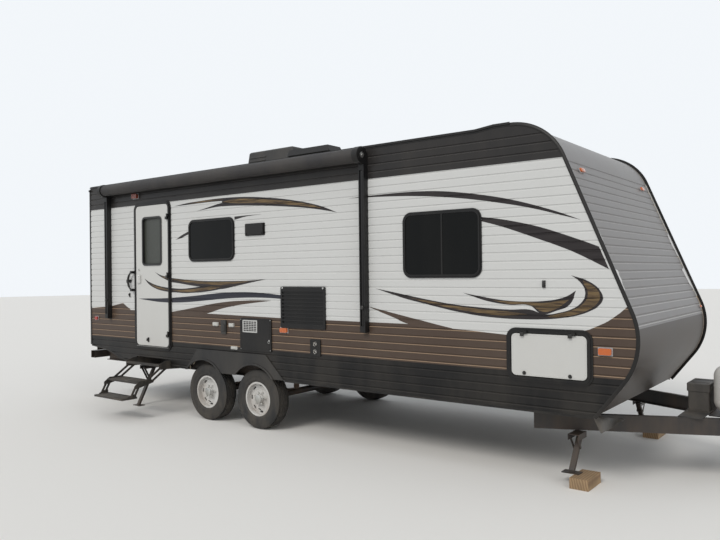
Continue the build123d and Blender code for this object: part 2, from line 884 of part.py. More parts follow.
# Leaf springs with their eyes and hangers, and the equalizers between the axles
spring_arc = ((spring_span / 2) ** 2 + spring_camber**2) / (2 * spring_camber)
spring_eyes = [
    station + end * spring_span / 2 for name, station in axle_stations for end in (-1, 1)
]
with BuildPart() as leaf_springs:
    for side in side_sign.values():
        inner_plane = Plane.XZ.offset(-side * rail_center - leaf_width / 2)
        for name, station in axle_stations:
            for count, length in enumerate(leaf_lengths):
                radius = spring_arc - leaf_thickness / 2 + count * leaf_thickness
                with BuildSketch(inner_plane) as leaf:
                    with Locations((X(station), Z(spring_center_height + spring_arc))):
                        Circle(radius + leaf_thickness)
                        Circle(radius, mode=Mode.SUBTRACT)
                    with Locations((X(station), Z(spring_center_height))):
                        Rectangle(length, spring_arc / 2, mode=Mode.INTERSECT)
                extrude(leaf.sketch, amount=leaf_width)
        with BuildSketch(inner_plane) as eyes:
            with Locations(*[(X(eye), Z(spring_eye_height)) for eye in spring_eyes]):
                Circle(spring_eye_radius)
        extrude(eyes.sketch, amount=leaf_width)
        for eye in (spring_eyes[0], spring_eyes[-1]):
            block(
                eye - hanger_length / 2, side * rail_center - leaf_width / 2, spring_eye_height,
                hanger_length, leaf_width, hanger_drop,
            )
        with BuildSketch(inner_plane) as equalizer:
            low, high = spring_eyes[1] - hanger_length / 2, spring_eyes[2] + hanger_length / 2
            middle = (low + high) / 2
            with BuildLine():
                Polyline(
                    (X(low), Z(spring_eye_height - equalizer_drop)),
                    (X(high), Z(spring_eye_height - equalizer_drop)),
                    (X(high), Z(spring_eye_height + equalizer_rise)),
                    (X(middle + equalizer_top_half), Z(rail_bottom)),
                    (X(middle - equalizer_top_half), Z(rail_bottom)),
                    (X(low), Z(spring_eye_height + equalizer_rise)),
                    close=True,
                )
            make_face()
        extrude(equalizer.sketch, amount=leaf_width)
save(leaf_springs, "leaf_springs")

# Wheels: a tyre, and a rim with its slotted disc, nuts, hub cap and brake drum
half_rim = rim_width / 2
inside_flange = half_rim - rim_sheet
bead_radius = rim_radius + seat_gap
seat_radius = rim_seat_radius + seat_gap
barrel_radius = rim_seat_radius - rim_sheet
hub_inner_face = axle_tube_half - wheel_side
for side_name, side in side_sign.items():
    for axle_name, station in axle_stations:
        hub_plane = Plane(
            origin=(X(station), side * wheel_side, Z(tyre_radius)),
            x_dir=(1, 0, 0), z_dir=(0, 0, 1) if side > 0 else (0, 0, -1),
        )
        disc_plane = Plane(hub_plane.origin, x_dir=(1, 0, 0), z_dir=(0, side, 0))
        turning = Axis(hub_plane.origin, (0, 1, 0))
        shoulder = (tyre_radius - tyre_shoulder_drop, tyre_width / 2 - tyre_shoulder_inset)
        with BuildPart() as tyre:
            with BuildSketch(hub_plane):
                with BuildLine():
                    Polyline(
                        (bead_radius, half_rim + tyre_bead_over),
                        (bead_radius, inside_flange - seat_gap),
                        (seat_radius, inside_flange - seat_gap),
                        (seat_radius, seat_gap - inside_flange),
                        (bead_radius, seat_gap - inside_flange),
                        (bead_radius, -half_rim - tyre_bead_over),
                    )
                    for face in (-1, 1):
                        ThreePointArc(
                            (bead_radius, face * (half_rim + tyre_bead_over)),
                            (rim_radius + tyre_sidewall_bulge, face * tyre_width / 2),
                            (shoulder[0], face * shoulder[1]),
                        )
                        ThreePointArc(
                            (shoulder[0], face * shoulder[1]),
                            (
                                tyre_radius - tyre_shoulder_drop / 4,
                                face * (tyre_tread_half + shoulder[1]) / 2,
                            ),
                            (tyre_radius, face * tyre_tread_half),
                        )
                    Line((tyre_radius, -tyre_tread_half), (tyre_radius, tyre_tread_half))
                make_face()
            revolve(axis=turning)
        save(tyre, f"tyre_{side_name}_{axle_name}")
        with BuildPart() as rim:
            with BuildSketch(hub_plane):
                with BuildLine():
                    Polyline(
                        (barrel_radius, -half_rim),
                        (rim_radius, -half_rim),
                        (rim_radius, -inside_flange),
                        (rim_seat_radius, -inside_flange),
                        (rim_seat_radius, inside_flange),
                        (rim_radius, inside_flange),
                        (rim_radius, half_rim),
                        (barrel_radius, half_rim),
                        (barrel_radius, disc_edge_face),
                        (disc_low_radius, disc_low_face),
                        (hub_radius, hub_foot_face),
                        (hub_radius, hub_cap_face - hub_cap_edge),
                        (hub_radius - hub_cap_edge, hub_cap_face),
                        (0, hub_cap_face),
                        (0, seat_gap),
                        (spindle_radius + running_gap, seat_gap),
                        (spindle_radius + running_gap, hub_inner_face + hub_back),
                        (hub_radius, hub_inner_face + hub_back),
                        (drum_radius, hub_inner_face + drum_back),
                        (drum_radius, 0),
                        (barrel_radius, disc_edge_back),
                        close=True,
                    )
                make_face()
            revolve(axis=turning)
            with BuildSketch(disc_plane) as holes:
                with PolarLocations(hand_hole_center, hand_holes):
                    SlotOverall(hand_hole_length, hand_hole_width, rotation=90)
            extrude(holes.sketch, amount=hub_cap_face, mode=Mode.SUBTRACT)
            with BuildSketch(disc_plane.offset(disc_low_face)) as nuts:
                with PolarLocations(wheel_nut_circle, wheel_nuts):
                    RegularPolygon(wheel_nut_radius, 6)
            extrude(nuts.sketch, amount=wheel_nut_face - disc_low_face)
        save(rim, f"rim_{side_name}_{axle_name}")

# Fender skirts over the wheel openings, with a lip round each arch
with BuildPart() as fender_skirts:
    arch_places = [(X(station), Z(tyre_radius)) for name, station in axle_stations]
    for side in side_sign.values():
        with BuildSketch(side_plane(side, 0)) as panel:
            with BuildLine():
                Polyline(*skirt_panel_corners, close=True)
            make_face()
            with Locations(*arch_places):
                Circle(arch_radius, mode=Mode.SUBTRACT)
        extrude(panel.sketch, amount=-side * skirt_panel_proud)
        with BuildSketch(side_plane(side, 0)) as lips:
            with Locations(*arch_places):
                Circle(arch_radius + arch_lip_width)
            with Locations(*arch_places):
                Circle(arch_radius, mode=Mode.SUBTRACT)
            with Locations((X((rear_axle_station + front_axle_station) / 2), Z(skirt_height))):
                Rectangle(
                    2 * spring_span + skirt_panel_ends[1], 2 * arch_radius,
                    align=(Align.CENTER, Align.MIN), mode=Mode.INTERSECT,
                )
        extrude(lips.sketch, amount=-side * arch_lip_proud)
save(fender_skirts, "fender_skirts")

# Windows: a flange on the skin, a bead round the glass, a divider, and the glass inside them
with BuildPart() as window_frames:
    for name, station, sill, width, height, share in windows:
        side = side_sign[name]
        rim = window_frame_width
        hole = (station + rim, sill + rim, width - 2 * rim, height - 2 * rim, window_corner - rim)
        side_ring(side, 0, window_flange_proud, *hole, rim)
        side_ring(side, window_flange_proud, window_frame_proud, *hole, window_bead_width)
        if share:
            side_plate(
                side, glass_thickness * 3 / 2, window_flange_proud + glass_thickness / 2,
                station + share * width - window_divider_width / 2, sill + rim / 2,
                window_divider_width, height - rim,
            )
save(window_frames, "window_frames")

with BuildPart() as window_glass:
    for name, station, sill, width, height, share in windows:
        side_plate(
            side_sign[name], glass_thickness / 2, glass_thickness * 3 / 2,
            station + window_frame_width, sill + window_frame_width,
            width - 2 * window_frame_width, height - 2 * window_frame_width,
            window_corner - window_frame_width,
        )
save(window_glass, "window_glass")


def door_ring(side, station, sill, width, height, corner, rim, flange, bead, proud):
    """A frame round a door and its gap: a flange on the skin and a higher bead inside it."""
    hole = (
        station - door_gap, sill - door_gap, width + 2 * door_gap, height + 2 * door_gap,
        corner + door_gap,
    )
    side_ring(side, 0, flange, *hole, rim)
    side_ring(side, flange, proud, *hole, bead)


# Hinge lines: the entry door at its front edge, the baggage doors along their tops
door_hinge_station = door_station + door_width + door_gap
bag_hinge_height = floor_bottom + bag_sill + bag_height + door_gap
door_hinge_y = -half_width - door_hinge_out
door_hinge_heights = [floor_bottom + door_sill + rise for rise in door_hinge_rises]

# Frames of the entry door and the two baggage doors, with their halves of the hinges
with BuildPart() as door_frames:
    door_ring(
        -1, door_station, door_sill, door_width, door_height, door_corner,
        door_frame_width, door_flange_proud, door_bead_width, door_frame_proud,
    )
    for height in door_hinge_heights:
        with Locations((X(door_hinge_station), door_hinge_y, Z(height))):
            Cylinder(
                hinge_barrel_radius, door_hinge_length / 2,
                align=(Align.CENTER, Align.CENTER, Align.MIN),
            )
        block(
            door_hinge_station, door_hinge_y - hinge_barrel_radius, height,
            hinge_leaf, door_hinge_out - door_frame_proud + hinge_barrel_radius,
            door_hinge_length / 2,
        )
    for side in side_sign.values():
        door_ring(
            side, bag_station, bag_sill, bag_width, bag_height, bag_corner,
            bag_frame_width, bag_flange_proud, bag_bead_width, bag_frame_proud,
        )
        axis_side = side * (half_width + bag_hinge_out)
        for share in bag_hinge_shares:
            middle = bag_station + share * bag_width
            cross_rod(
                X(middle), X(middle + bag_hinge_length / 2),
                (axis_side, bag_hinge_height), hinge_barrel_radius,
            )
            root = side * (half_width + bag_frame_proud)
            tip = axis_side + side * hinge_barrel_radius
            block(
                middle, min(root, tip), bag_hinge_height,
                bag_hinge_length / 2, abs(tip - root), hinge_leaf,
            )
save(door_frames, "door_frames")

# Entry door: slab with its window hole and ring, latch and hinge halves, and the glass
door_glass = (
    door_station + door_glass_setback, door_sill + door_glass_rise,
    door_glass_width, door_glass_height, door_glass_corner,
)
with BuildPart() as entry_door:
    side_plate(
        -1, door_proud - door_thickness, door_proud, door_station, door_sill,
        door_width, door_height, door_corner,
    )
    side_plate(-1, door_proud - door_thickness, door_proud, *door_glass, mode=Mode.SUBTRACT)
    side_ring(-1, door_proud, door_glass_ring_proud, *door_glass, door_glass_ring_width)
    setback, rise, width, height, proud, corner = door_latch
    side_plate(
        -1, door_proud, proud, door_station + setback, door_sill + rise, width, height, corner
    )
    for height in door_hinge_heights:
        with Locations((X(door_hinge_station), door_hinge_y, Z(height - running_gap))):
            Cylinder(
                hinge_barrel_radius, door_hinge_length / 2,
                align=(Align.CENTER, Align.CENTER, Align.MAX),
            )
        block(
            door_hinge_station - hinge_leaf - door_gap, door_hinge_y - hinge_barrel_radius,
            height - running_gap - door_hinge_length / 2,
            hinge_leaf + door_gap, door_hinge_out - door_proud + hinge_barrel_radius,
            door_hinge_length / 2,
        )
save(entry_door, "entry_door")

with BuildPart() as entry_door_glass:
    side_plate(-1, -glass_thickness, 0, *door_glass)
save(entry_door_glass, "entry_door_glass")

# Baggage doors with their round latches and hinge halves
for name, side in side_sign.items():
    with BuildPart() as baggage_door:
        side_plate(
            side, bag_proud - bag_thickness, bag_proud, bag_station, bag_sill,
            bag_width, bag_height, bag_corner,
        )
        with BuildSketch(side_plane(side, bag_proud)) as latches:
            for share in bag_latch_shares:
                with Locations(
                    (
                        X(bag_station + share * bag_width),
                        Z(floor_bottom + bag_sill + bag_latch_rise),
                    )
                ):
                    Circle(bag_latch_radius)
        extrude(latches.sketch, amount=-side * (bag_latch_proud - bag_proud))
        axis_side = side * (half_width + bag_hinge_out)
        for share in bag_hinge_shares:
            middle = bag_station + share * bag_width - running_gap
            cross_rod(
                X(middle - bag_hinge_length / 2), X(middle),
                (axis_side, bag_hinge_height), hinge_barrel_radius,
            )
            root = side * (half_width + bag_proud)
            tip = axis_side + side * hinge_barrel_radius
            block(
                middle - bag_hinge_length / 2, min(root, tip),
                bag_hinge_height - door_gap - hinge_leaf,
                bag_hinge_length / 2, abs(tip - root), hinge_leaf + door_gap,
            )
    save(baggage_door, f"baggage_door_{name}")

# Vents on the curb side: flap over the cooker, louvres behind the fridge, two furnace ports
with BuildPart() as wall_vents:
    station, sill, width, height, proud, corner = hood_vent
    inset = hood_flap_inset
    side_plate(-1, 0, hood_flange, station, sill, width, height, corner)
    side_plate(
        -1, hood_flange, proud, station + inset, sill + inset / 2, width - 2 * inset, height - inset
    )
    station, sill, width, height, proud, corner = fridge_vent
    side_plate(-1, 0, proud, station, sill, width, height, corner)
    side_slots(
        -1, proud - louvre_depth, proud, station + louvre_border, sill + louvre_border,
        width - 2 * louvre_border, height - 2 * louvre_border, louvre_slot, louvre_pitch,
    )
    station, sill, width, height, proud, corner = furnace_vent
    side_plate(-1, 0, proud, station, sill, width, height, corner)
    with BuildSketch(side_plane(-1, proud - furnace_port_depth)) as ports:
        for share in (0.27, 0.73):
            with Locations((X(station + width / 2), Z(floor_bottom + sill + share * height))):
                Circle(furnace_port_radius)
    extrude(ports.sketch, amount=furnace_port_depth, mode=Mode.SUBTRACT)
save(wall_vents, "wall_vents")

# Water heater door with its grille
with BuildPart() as water_heater_door:
    station, sill, width, height, proud, corner = water_heater
    side_plate(-1, 0, proud, station, sill, width, height, corner)
    across, up, grille_width, grille_height = grille
    side_slots(
        -1, proud - grille_depth, proud, station + across, sill + up,
        grille_width, grille_height, grille_slot, grille_pitch,
    )
save(water_heater_door, "water_heater_door")

with BuildPart() as service_inlets:
    for station, sill, width, height, proud, corner in inlets:
        side_plate(-1, 0, proud, station, sill, width, height, corner)
save(service_inlets, "service_inlets")

# Lamps: side markers, porch lamp, tail lamps and the row along the top at the rear
with BuildPart() as lamps:
    for side in side_sign.values():
        for station, sill, width, height, proud in side_lamps:
            side_plate(side, 0, proud, station, sill, width, height, side_lamp_corner)
    door_frame_top = door_sill + door_height + door_gap + door_frame_width
    awning_underside = roof_height - awning_roof_drop - awning_radius - floor_bottom
    porch_space = awning_underside - door_frame_top
    side_plate(
        -1, 0, porch_lamp_proud, porch_lamp_station,
        door_frame_top + porch_lamp_rise_share * porch_space, porch_lamp_width,
        porch_lamp_tall_share * porch_space, side_lamp_corner,
    )
    rear_plane = Plane(origin=(X(0), 0, 0), x_dir=(0, 1, 0), z_dir=(-1, 0, 0))
    with BuildSketch(rear_plane) as rear_lenses:
        for side in side_sign.values():
            with Locations(
                (
                    side * (half_width - tail_lamp_inset),
                    -Z(floor_bottom + tail_lamp_level + tail_lamp_tall / 2),
                )
            ):
                RectangleRounded(tail_lamp_width, tail_lamp_tall, tail_lamp_corner)
    extrude(rear_lenses.sketch, amount=tail_lamp_proud)
    with BuildSketch(rear_plane) as top_lenses:
        for share in top_lamp_shares:
            with Locations((share * half_width, -Z(roof_height - top_lamp_drop))):
                RectangleRounded(top_lamp_width, top_lamp_tall, side_lamp_corner)
    extrude(top_lenses.sketch, amount=top_lamp_proud)
save(lamps, "lamps")

# Grab handle beside the door: a bent loop folded flat to the wall, its feet and its catch
with BuildPart() as grab_handle:
    loop_plane = side_plane(-1, handle_out)
    foot_x = X(handle_foot_station)
    handle_low = Z(floor_bottom + handle_sill)
    handle_high = handle_low + handle_height
    with BuildLine(loop_plane) as handle_path:
        ThreePointArc(
            (foot_x, handle_low),
            (foot_x - handle_reach, (handle_low + handle_high) / 2),
            (foot_x, handle_high),
        )
    with BuildSketch(Plane(handle_path.line @ 0, z_dir=handle_path.line % 0)):
        Circle(handle_radius)
    sweep()
    with BuildSketch(side_plane(-1, 0)) as feet:
        with Locations((foot_x, handle_low), (foot_x, handle_high)):
            Circle(handle_foot_radius)
    extrude(feet.sketch, amount=handle_out + handle_radius)
    station, rise, length, height = handle_catch
    side_plate(
        -1, 0, handle_out + handle_radius / 2, station, rise, length, height, handle_radius
    )
save(grab_handle, "grab_handle")

# Awning: rolled fabric on its tube, and two channel arms with round heads
awning_y = -half_width - awning_out
awning_axis_height = roof_height - awning_roof_drop
with BuildPart() as awning_roller:
    rear_head = awning_arms[0][0] + awning_arms[0][1]
    cross_rod(
        X(rear_head), X(awning_arms[1][0]), (awning_y, awning_axis_height), awning_radius
    )
save(awning_roller, "awning_roller")

with BuildPart() as awning_arm_pair:
    arm_height = awning_axis_height - floor_bottom - awning_arm_bottom
    for station, width in awning_arms:
        side_plate(-1, 0, awning_arm_depth, station, awning_arm_bottom, width, arm_height)
        side_plate(
            -1, awning_arm_depth - awning_arm_channel, awning_arm_depth,
            station + awning_arm_lip, awning_arm_bottom + awning_arm_end,
            width - 2 * awning_arm_lip, arm_height - 2 * awning_arm_end - awning_head_radius,
            mode=Mode.SUBTRACT,
        )
        cross_rod(
            X(station), X(station + width), (awning_y, awning_axis_height), awning_head_radius
        )
save(awning_arm_pair, "awning_arms")

# Air conditioner: a shroud that narrows upwards, with louvres at the back
with BuildPart() as air_conditioner:
    tapered_lid(
        air_station, -air_width / 2, roof_height, air_length, air_width, air_height,
        air_top_inset, air_corner,
    )
    fillet(air_conditioner.faces().sort_by(Axis.Z)[-1].edges(), radius=air_edge)
    for count in range(air_louvres):
        block(
            air_station, -air_louvre_width / 2,
            roof_height + air_louvre_first + count * air_louvre_pitch,
            air_louvre_reach, air_louvre_width, air_louvre_slot, Mode.SUBTRACT,
        )
save(air_conditioner, "air_conditioner")

# Roof vents: the long cap over the fridge flue, two hatches with domed lids, capped pipes
with BuildPart() as roof_vents:
    station, side, length, width = fridge_cap
    inset = fridge_cap_base_inset
    low_side = side - half_width
    block(
        station + inset, low_side + inset, roof_height,
        length - 2 * inset, width - 2 * inset, fridge_cap_base_height,
    )
    tapered_lid(
        station, low_side, roof_height + fridge_cap_base_height, length, width,
        fridge_cap_lid_height, fridge_cap_taper, hatch_corner,
    )
    for station, side in roof_hatches:
        inset = hatch_curb_inset
        block(
            station + inset, side + inset, roof_height,
            hatch_size - 2 * inset, hatch_size - 2 * inset, hatch_curb_height,
        )
        tapered_lid(
            station, side, roof_height + hatch_curb_height, hatch_size, hatch_size,
            hatch_lid_height, hatch_taper, hatch_corner,
        )
    for station, side in roof_pipe_places:
        post(station, side, roof_height, roof_pipe_radius, roof_pipe_height)
        post(
            station, side, roof_height + roof_pipe_height,
            roof_pipe_cap_radius, roof_pipe_cap_height,
        )
save(roof_vents, "roof_vents")

# Gas bottles on their rack: foot ring, domed body, valve, and a collar with two windows
rack_top = rail_bottom + rack_thickness
with BuildPart() as gas_bottle_rack:
    block(
        bottle_station - rack_length / 2, -rack_width / 2, rail_bottom,
        rack_length, rack_width, rack_thickness,
    )
save(gas_bottle_rack, "gas_bottle_rack")

bottle_middle = (rack_top + bottle_foot_height / 2, rack_top + bottle_height - bottle_foot_height)
with BuildPart() as gas_bottles:
    for side in side_sign.values():
        post(
            bottle_station, side * bottle_side, bottle_middle[0],
            bottle_radius, bottle_middle[1] - bottle_middle[0],
        )
    fillet(gas_bottles.edges().filter_by(GeomType.CIRCLE), radius=bottle_dome)
    dome_top = rack_top + bottle_height - bottle_foot_height
    collar_foot = dome_top - bottle_dome / 3
    window_width, window_tall = bottle_collar_window
    for side in side_sign.values():
        place = (bottle_station, side * bottle_side)
        post(*place, rack_top, bottle_foot_radius, bottle_foot_height * 2)
        post(*place, collar_foot, bottle_collar_radius, bottle_collar_height)
        post(
            *place, dome_top, bottle_collar_radius - bottle_collar_sheet,
            bottle_collar_height, Mode.SUBTRACT,
        )
        post(*place, dome_top, bottle_valve_radius, bottle_valve_height)
        block(
            bottle_station - window_width / 2,
            side * bottle_side - bottle_collar_radius,
            dome_top + bottle_collar_sheet, window_width, 2 * bottle_collar_radius, window_tall,
            Mode.SUBTRACT,
        )
        post(*place, dome_top, bottle_valve_radius, bottle_valve_height)
save(gas_bottles, "gas_bottles")

with BuildPart() as battery_box:
    lid = battery_lid_over
    block(
        battery_station - battery_length / 2 + lid, -battery_width / 2 + lid, rack_top,
        battery_length - 2 * lid, battery_width - 2 * lid, battery_height - battery_lid_height,
    )
    block(
        battery_station - battery_length / 2, -battery_width / 2,
        rack_top + battery_height - battery_lid_height,
        battery_length, battery_width, battery_lid_height,
    )
    fillet(battery_box.edges().filter_by(Axis.Z), radius=battery_corner)
    fillet(battery_box.faces().sort_by(Axis.Z)[-1].edges(), radius=battery_lid_over)
    block(
        battery_station - battery_length / 2, -tongue_start_side / 2, rail_bottom,
        battery_length, tongue_start_side, rack_thickness,
    )
save(battery_box, "battery_box")

# Tongue jack: outer tube with its head and crank, and the leg with its foot
jack_tube_bottom = rail_bottom - jack_tube_drop
jack_tube_top = rail_bottom + jack_tube_rise
with BuildPart() as tongue_jack:
    post(
        jack_station, 0, jack_tube_bottom, jack_tube_radius, jack_tube_top - jack_tube_bottom
    )
    post(jack_station, 0, jack_tube_top, jack_head_radius, jack_head_height)
    fillet(tongue_jack.faces().sort_by(Axis.Z)[-1].edges(), radius=jack_crank_bend / 2)
    head_top = Z(jack_tube_top + jack_head_height)
    with BuildLine() as crank_path:
        FilletPolyline(
            (X(jack_station), 0, head_top - jack_crank_rise),
            (X(jack_station), 0, head_top + jack_crank_rise),
            (X(jack_station), jack_crank_reach, head_top + jack_crank_rise),
            (X(jack_station), jack_crank_reach, head_top + jack_crank_rise + jack_crank_grip),
            radius=jack_crank_bend,
        )
    with BuildSketch(Plane(crank_path.line @ 0, z_dir=crank_path.line % 0)):
        Circle(jack_crank_radius)
    sweep()
    post(
        jack_station, 0, jack_tube_bottom, jack_leg_radius + running_gap,
        jack_tube_top - jack_tube_bottom, Mode.SUBTRACT,
    )
save(tongue_jack, "tongue_jack")

with BuildPart() as tongue_jack_leg:
    post(jack_station, 0, 0, jack_leg_radius, jack_tube_bottom + jack_leg_overlap)
    post(jack_station, 0, 0, jack_foot_radius, jack_foot_thickness)
save(tongue_jack_leg, "tongue_jack_leg")

# Pins and layers of the step linkage, from the middle of the steps outwards on both sides
step_x = X(step_station)
step_pivot = (-half_width - step_pivot_out, skirt_height)
step_upper_pin = sum_of(step_pivot, step_upper_run)
upper_link_layer = (step_base_inner - step_layer, step_base_inner - step_layer + step_plate)
upper_cheek_layer = tuple(x - step_layer for x in upper_link_layer)
lower_link_layer = tuple(x - step_layer for x in upper_cheek_layer)
lower_cheek_layer = tuple(x - step_layer for x in lower_link_layer)

base_pins = (step_pivot, sum_of(step_pivot, step_upper_spacing))
upper_pins = (step_upper_pin, sum_of(step_upper_pin, step_upper_spacing))
hang_pin = sum_of(step_upper_pin, step_lower_pivot)
hang_pins = (hang_pin, sum_of(hang_pin, step_lower_spacing))
lower_pin = sum_of(step_upper_pin, step_lower_pin)
lower_pins = (lower_pin, sum_of(lower_pin, step_lower_spacing))


def both_sides(layer):
    """A layer right and left of the middle of the steps, as positions along X."""
    near, far = layer
    return ((step_x + near, step_x + far), (step_x - far, step_x - near))


# Step base: two plates from the chassis rail, two cross bars and the upper pins
with BuildPart() as step_base:
    base_corners = [(-rail_center - rail_plate / 2, skirt_height + rise) for rise in step_base_rail_rise]
    base_corners += [sum_of(step_pivot, corner) for corner in step_base_outline]
    for first, last in both_sides((step_base_inner, step_base_inner + step_plate)):
        cross_plate(first, last, base_corners)
    for first, last in both_sides((upper_link_layer[0] - step_pin_end, step_base_inner)):
        for pin in base_pins:
            cross_rod(first, last, pin, step_pin_radius)
    full_width = 2 * (step_base_inner + step_plate)
    block(
        step_station - full_width / 2, step_pivot[0] - step_bar_half,
        skirt_height + step_bar_rise, full_width, 2 * step_bar_half, step_bar_height,
    )
    block(
        step_station - full_width / 2, -rail_center - rail_flange / 2 - step_rail_bar,
        skirt_height + step_rail_bar_rise, full_width, step_rail_bar, step_rail_bar,
    )
save(step_base, "step_base")

# Links: the first of each pair carries its tread, the second runs beside it as a guide
link_table = (
    ("step_upper_links", upper_link_layer, base_pins[0], upper_pins[0], running_gap),
    ("step_upper_guides", upper_link_layer, base_pins[1], upper_pins[1], open_pivot_gap),
    ("step_lower_links", lower_link_layer, hang_pins[0], lower_pins[0], running_gap),
    ("step_lower_guides", lower_link_layer, hang_pins[1], lower_pins[1], open_pivot_gap),
)
for name, layer, start, end, end_gap in link_table:
    with BuildPart() as links:
        for first, last in both_sides(layer):
            cross_bar(first, last, start, end, step_link_width)
            cross_rod(first, last, start, step_pin_radius + running_gap, Mode.SUBTRACT)
            cross_rod(first, last, end, step_pin_radius + end_gap, Mode.SUBTRACT)
    save(links, name)


def step_board(pin, half_length, rear):
    """A tread pressed from sheet, open below, by its pin and half of its length."""
    side, height = pin
    width = step_board_front + rear
    sheet = step_board_sheet
    block(
        step_station - half_length, side - step_board_front, height - step_board_thickness,
        2 * half_length, width, step_board_thickness,
    )
    block(
        step_station - half_length + sheet, side - step_board_front + sheet,
        height - step_board_thickness, 2 * (half_length - sheet), width - 2 * sheet,
        step_board_thickness - sheet, Mode.SUBTRACT,
    )


# Upper tread: board, cheeks, pins outwards for its own links and inwards for the lower ones
with BuildPart() as step_upper_tread:
    step_board(step_upper_pin, upper_cheek_layer[0], step_board_rear)
    for first, last in both_sides(upper_cheek_layer):
        cross_plate(first, last, [sum_of(step_upper_pin, at) for at in upper_cheek_outline])
    for first, last in both_sides((upper_cheek_layer[0], upper_link_layer[1] + step_pin_end)):
        for pin in upper_pins:
            cross_rod(first, last, pin, step_pin_radius)
    for first, last in both_sides((lower_link_layer[0] - step_pin_end, upper_cheek_layer[1])):
        for pin in hang_pins:
            cross_rod(first, last, pin, step_pin_radius)
save(step_upper_tread, "step_upper_tread")

# Lower tread: board, cheeks and its pins
with BuildPart() as step_lower_tread:
    step_board(lower_pin, lower_cheek_layer[0], step_lower_board_rear)
    for first, last in both_sides(lower_cheek_layer):
        cross_plate(first, last, [sum_of(lower_pin, at) for at in lower_cheek_outline])
    for first, last in both_sides((lower_cheek_layer[0], lower_link_layer[1] + step_pin_end)):
        for pin in lower_pins:
            cross_rod(first, last, pin, step_pin_radius)
save(step_lower_tread, "step_lower_tread")


def stabilizer_places(side, on_tongue, angle, pivot_from_rail):
    """Where a stabilizer is mounted, and where its pivot, knee, slide and foot stand."""
    mount = tongue_bottom if on_tongue else rail_bottom
    foot_bottom = pad_height + rest_gap if on_tongue else 0.0
    pivot_side = rail_center + pivot_from_rail
    foot_height = foot_bottom + stabilizer_foot[2] + stabilizer_leg_depth / 2
    top_height = mount - stabilizer_drop
    leg = (top_height - foot_height) / sin(radians(angle))
    arm = stabilizer_knee_share * leg
    slide_side = pivot_side - 2 * arm * cos(radians(angle))
    foot_side = slide_side + leg * cos(radians(angle))
    return {
        "mount": mount,
        "foot_bottom": foot_bottom,
        "outer": pivot_side + stabilizer_channel_outer,
        "inner": slide_side - stabilizer_channel_inner,
        "pivot": (side * pivot_side, top_height),
        "knee": (side * (pivot_side + slide_side) / 2, top_height - arm * sin(radians(angle))),
        "slide": (side * slide_side, top_height),
        "foot": (side * foot_side, foot_height),
    }


# Stabilizers: channel on the frame, brace from the outer pivot, and leg from slide to foot
with BuildPart() as stabilizer_mounts:
    for name, side, station, on_tongue, angle, pivot_from_rail in stabilizers:
        places = stabilizer_places(side, on_tongue, angle, pivot_from_rail)
        low_side = min(side * places["outer"], side * places["inner"])
        channel_length = places["outer"] - places["inner"]
        channel_width = 2 * (stabilizer_channel_half + stabilizer_channel_plate)
        channel_bottom = places["mount"] - stabilizer_channel_depth
        block(
            station - channel_width / 2, low_side, channel_bottom,
            channel_width, channel_length, stabilizer_channel_depth,
        )
        block(
            station - stabilizer_channel_half, low_side, channel_bottom,
            2 * stabilizer_channel_half, channel_length,
            stabilizer_channel_depth - stabilizer_channel_plate, Mode.SUBTRACT,
        )
        stub = channel_width / 2 - stabilizer_strap_inner + step_pin_end
        for first in (-channel_width / 2, channel_width / 2 - stub):
            near = X(station) + first
            cross_rod(near, near + stub, places["pivot"], stabilizer_pin_radius)
save(stabilizer_mounts, "stabilizer_mounts")

for name, side, station, on_tongue, angle, pivot_from_rail in stabilizers:
    places = stabilizer_places(side, on_tongue, angle, pivot_from_rail)
    strap_outer = stabilizer_strap_inner + stabilizer_strap
    half_leg = stabilizer_leg_width / 2
    pin_hole = stabilizer_pin_radius + running_gap
    with BuildPart() as brace:
        for first in (-strap_outer, stabilizer_strap_inner):
            near = X(station) + first
            far = near + stabilizer_strap
            cross_bar(near, far, places["pivot"], places["knee"], stabilizer_strap_width)
            cross_rod(near, far, places["pivot"], pin_hole, Mode.SUBTRACT)
        cross_rod(
            X(station) - strap_outer, X(station) + strap_outer,
            places["knee"], stabilizer_pin_radius,
        )
    save(brace, f"stabilizer_brace_{name}")
    with BuildPart() as leg:
        near, far = X(station) - half_leg, X(station) + half_leg
        slide, foot = places["slide"], places["foot"]
        cross_bar(near, far, slide, foot, stabilizer_leg_depth)
        sheet = stabilizer_leg_sheet
        lower = (-side * sheet * sin(radians(angle)), -sheet * cos(radians(angle)))
        cross_bar(
            near + sheet, far - sheet, sum_of(slide, lower), sum_of(foot, lower),
            stabilizer_leg_depth, Mode.SUBTRACT,
        )
        cross_rod(near, far, places["knee"], pin_hole, Mode.SUBTRACT)
        slide_half = stabilizer_channel_half - slide_gap
        cross_rod(
            X(station) - slide_half, X(station) + slide_half, slide, stabilizer_pin_radius
        )
        foot_depth, foot_length, foot_thickness = stabilizer_foot
        block(
            station - foot_length / 2, foot[0] - foot_depth / 2, places["foot_bottom"],
            foot_length, foot_depth, foot_thickness,
        )
        block(
            station - half_leg, foot[0] - stabilizer_leg_depth / 2, places["foot_bottom"],
            2 * half_leg, stabilizer_leg_depth, foot_thickness + stabilizer_leg_depth / 2,
        )
    save(leg, f"stabilizer_leg_{name}")

# Wooden blocks under the front stabilizers
with BuildPart() as jack_pads:
    for name, side, station, on_tongue, angle, pivot_from_rail in stabilizers:
        if on_tongue:
            foot = stabilizer_places(side, on_tongue, angle, pivot_from_rail)["foot"]
            block(
                station + pad_forward - pad_length / 2, foot[0] - pad_width / 2, 0,
                pad_length, pad_width, pad_height,
            )
save(jack_pads, "jack_pads")
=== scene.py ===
import math

import bpy
from mathutils import Matrix, Vector


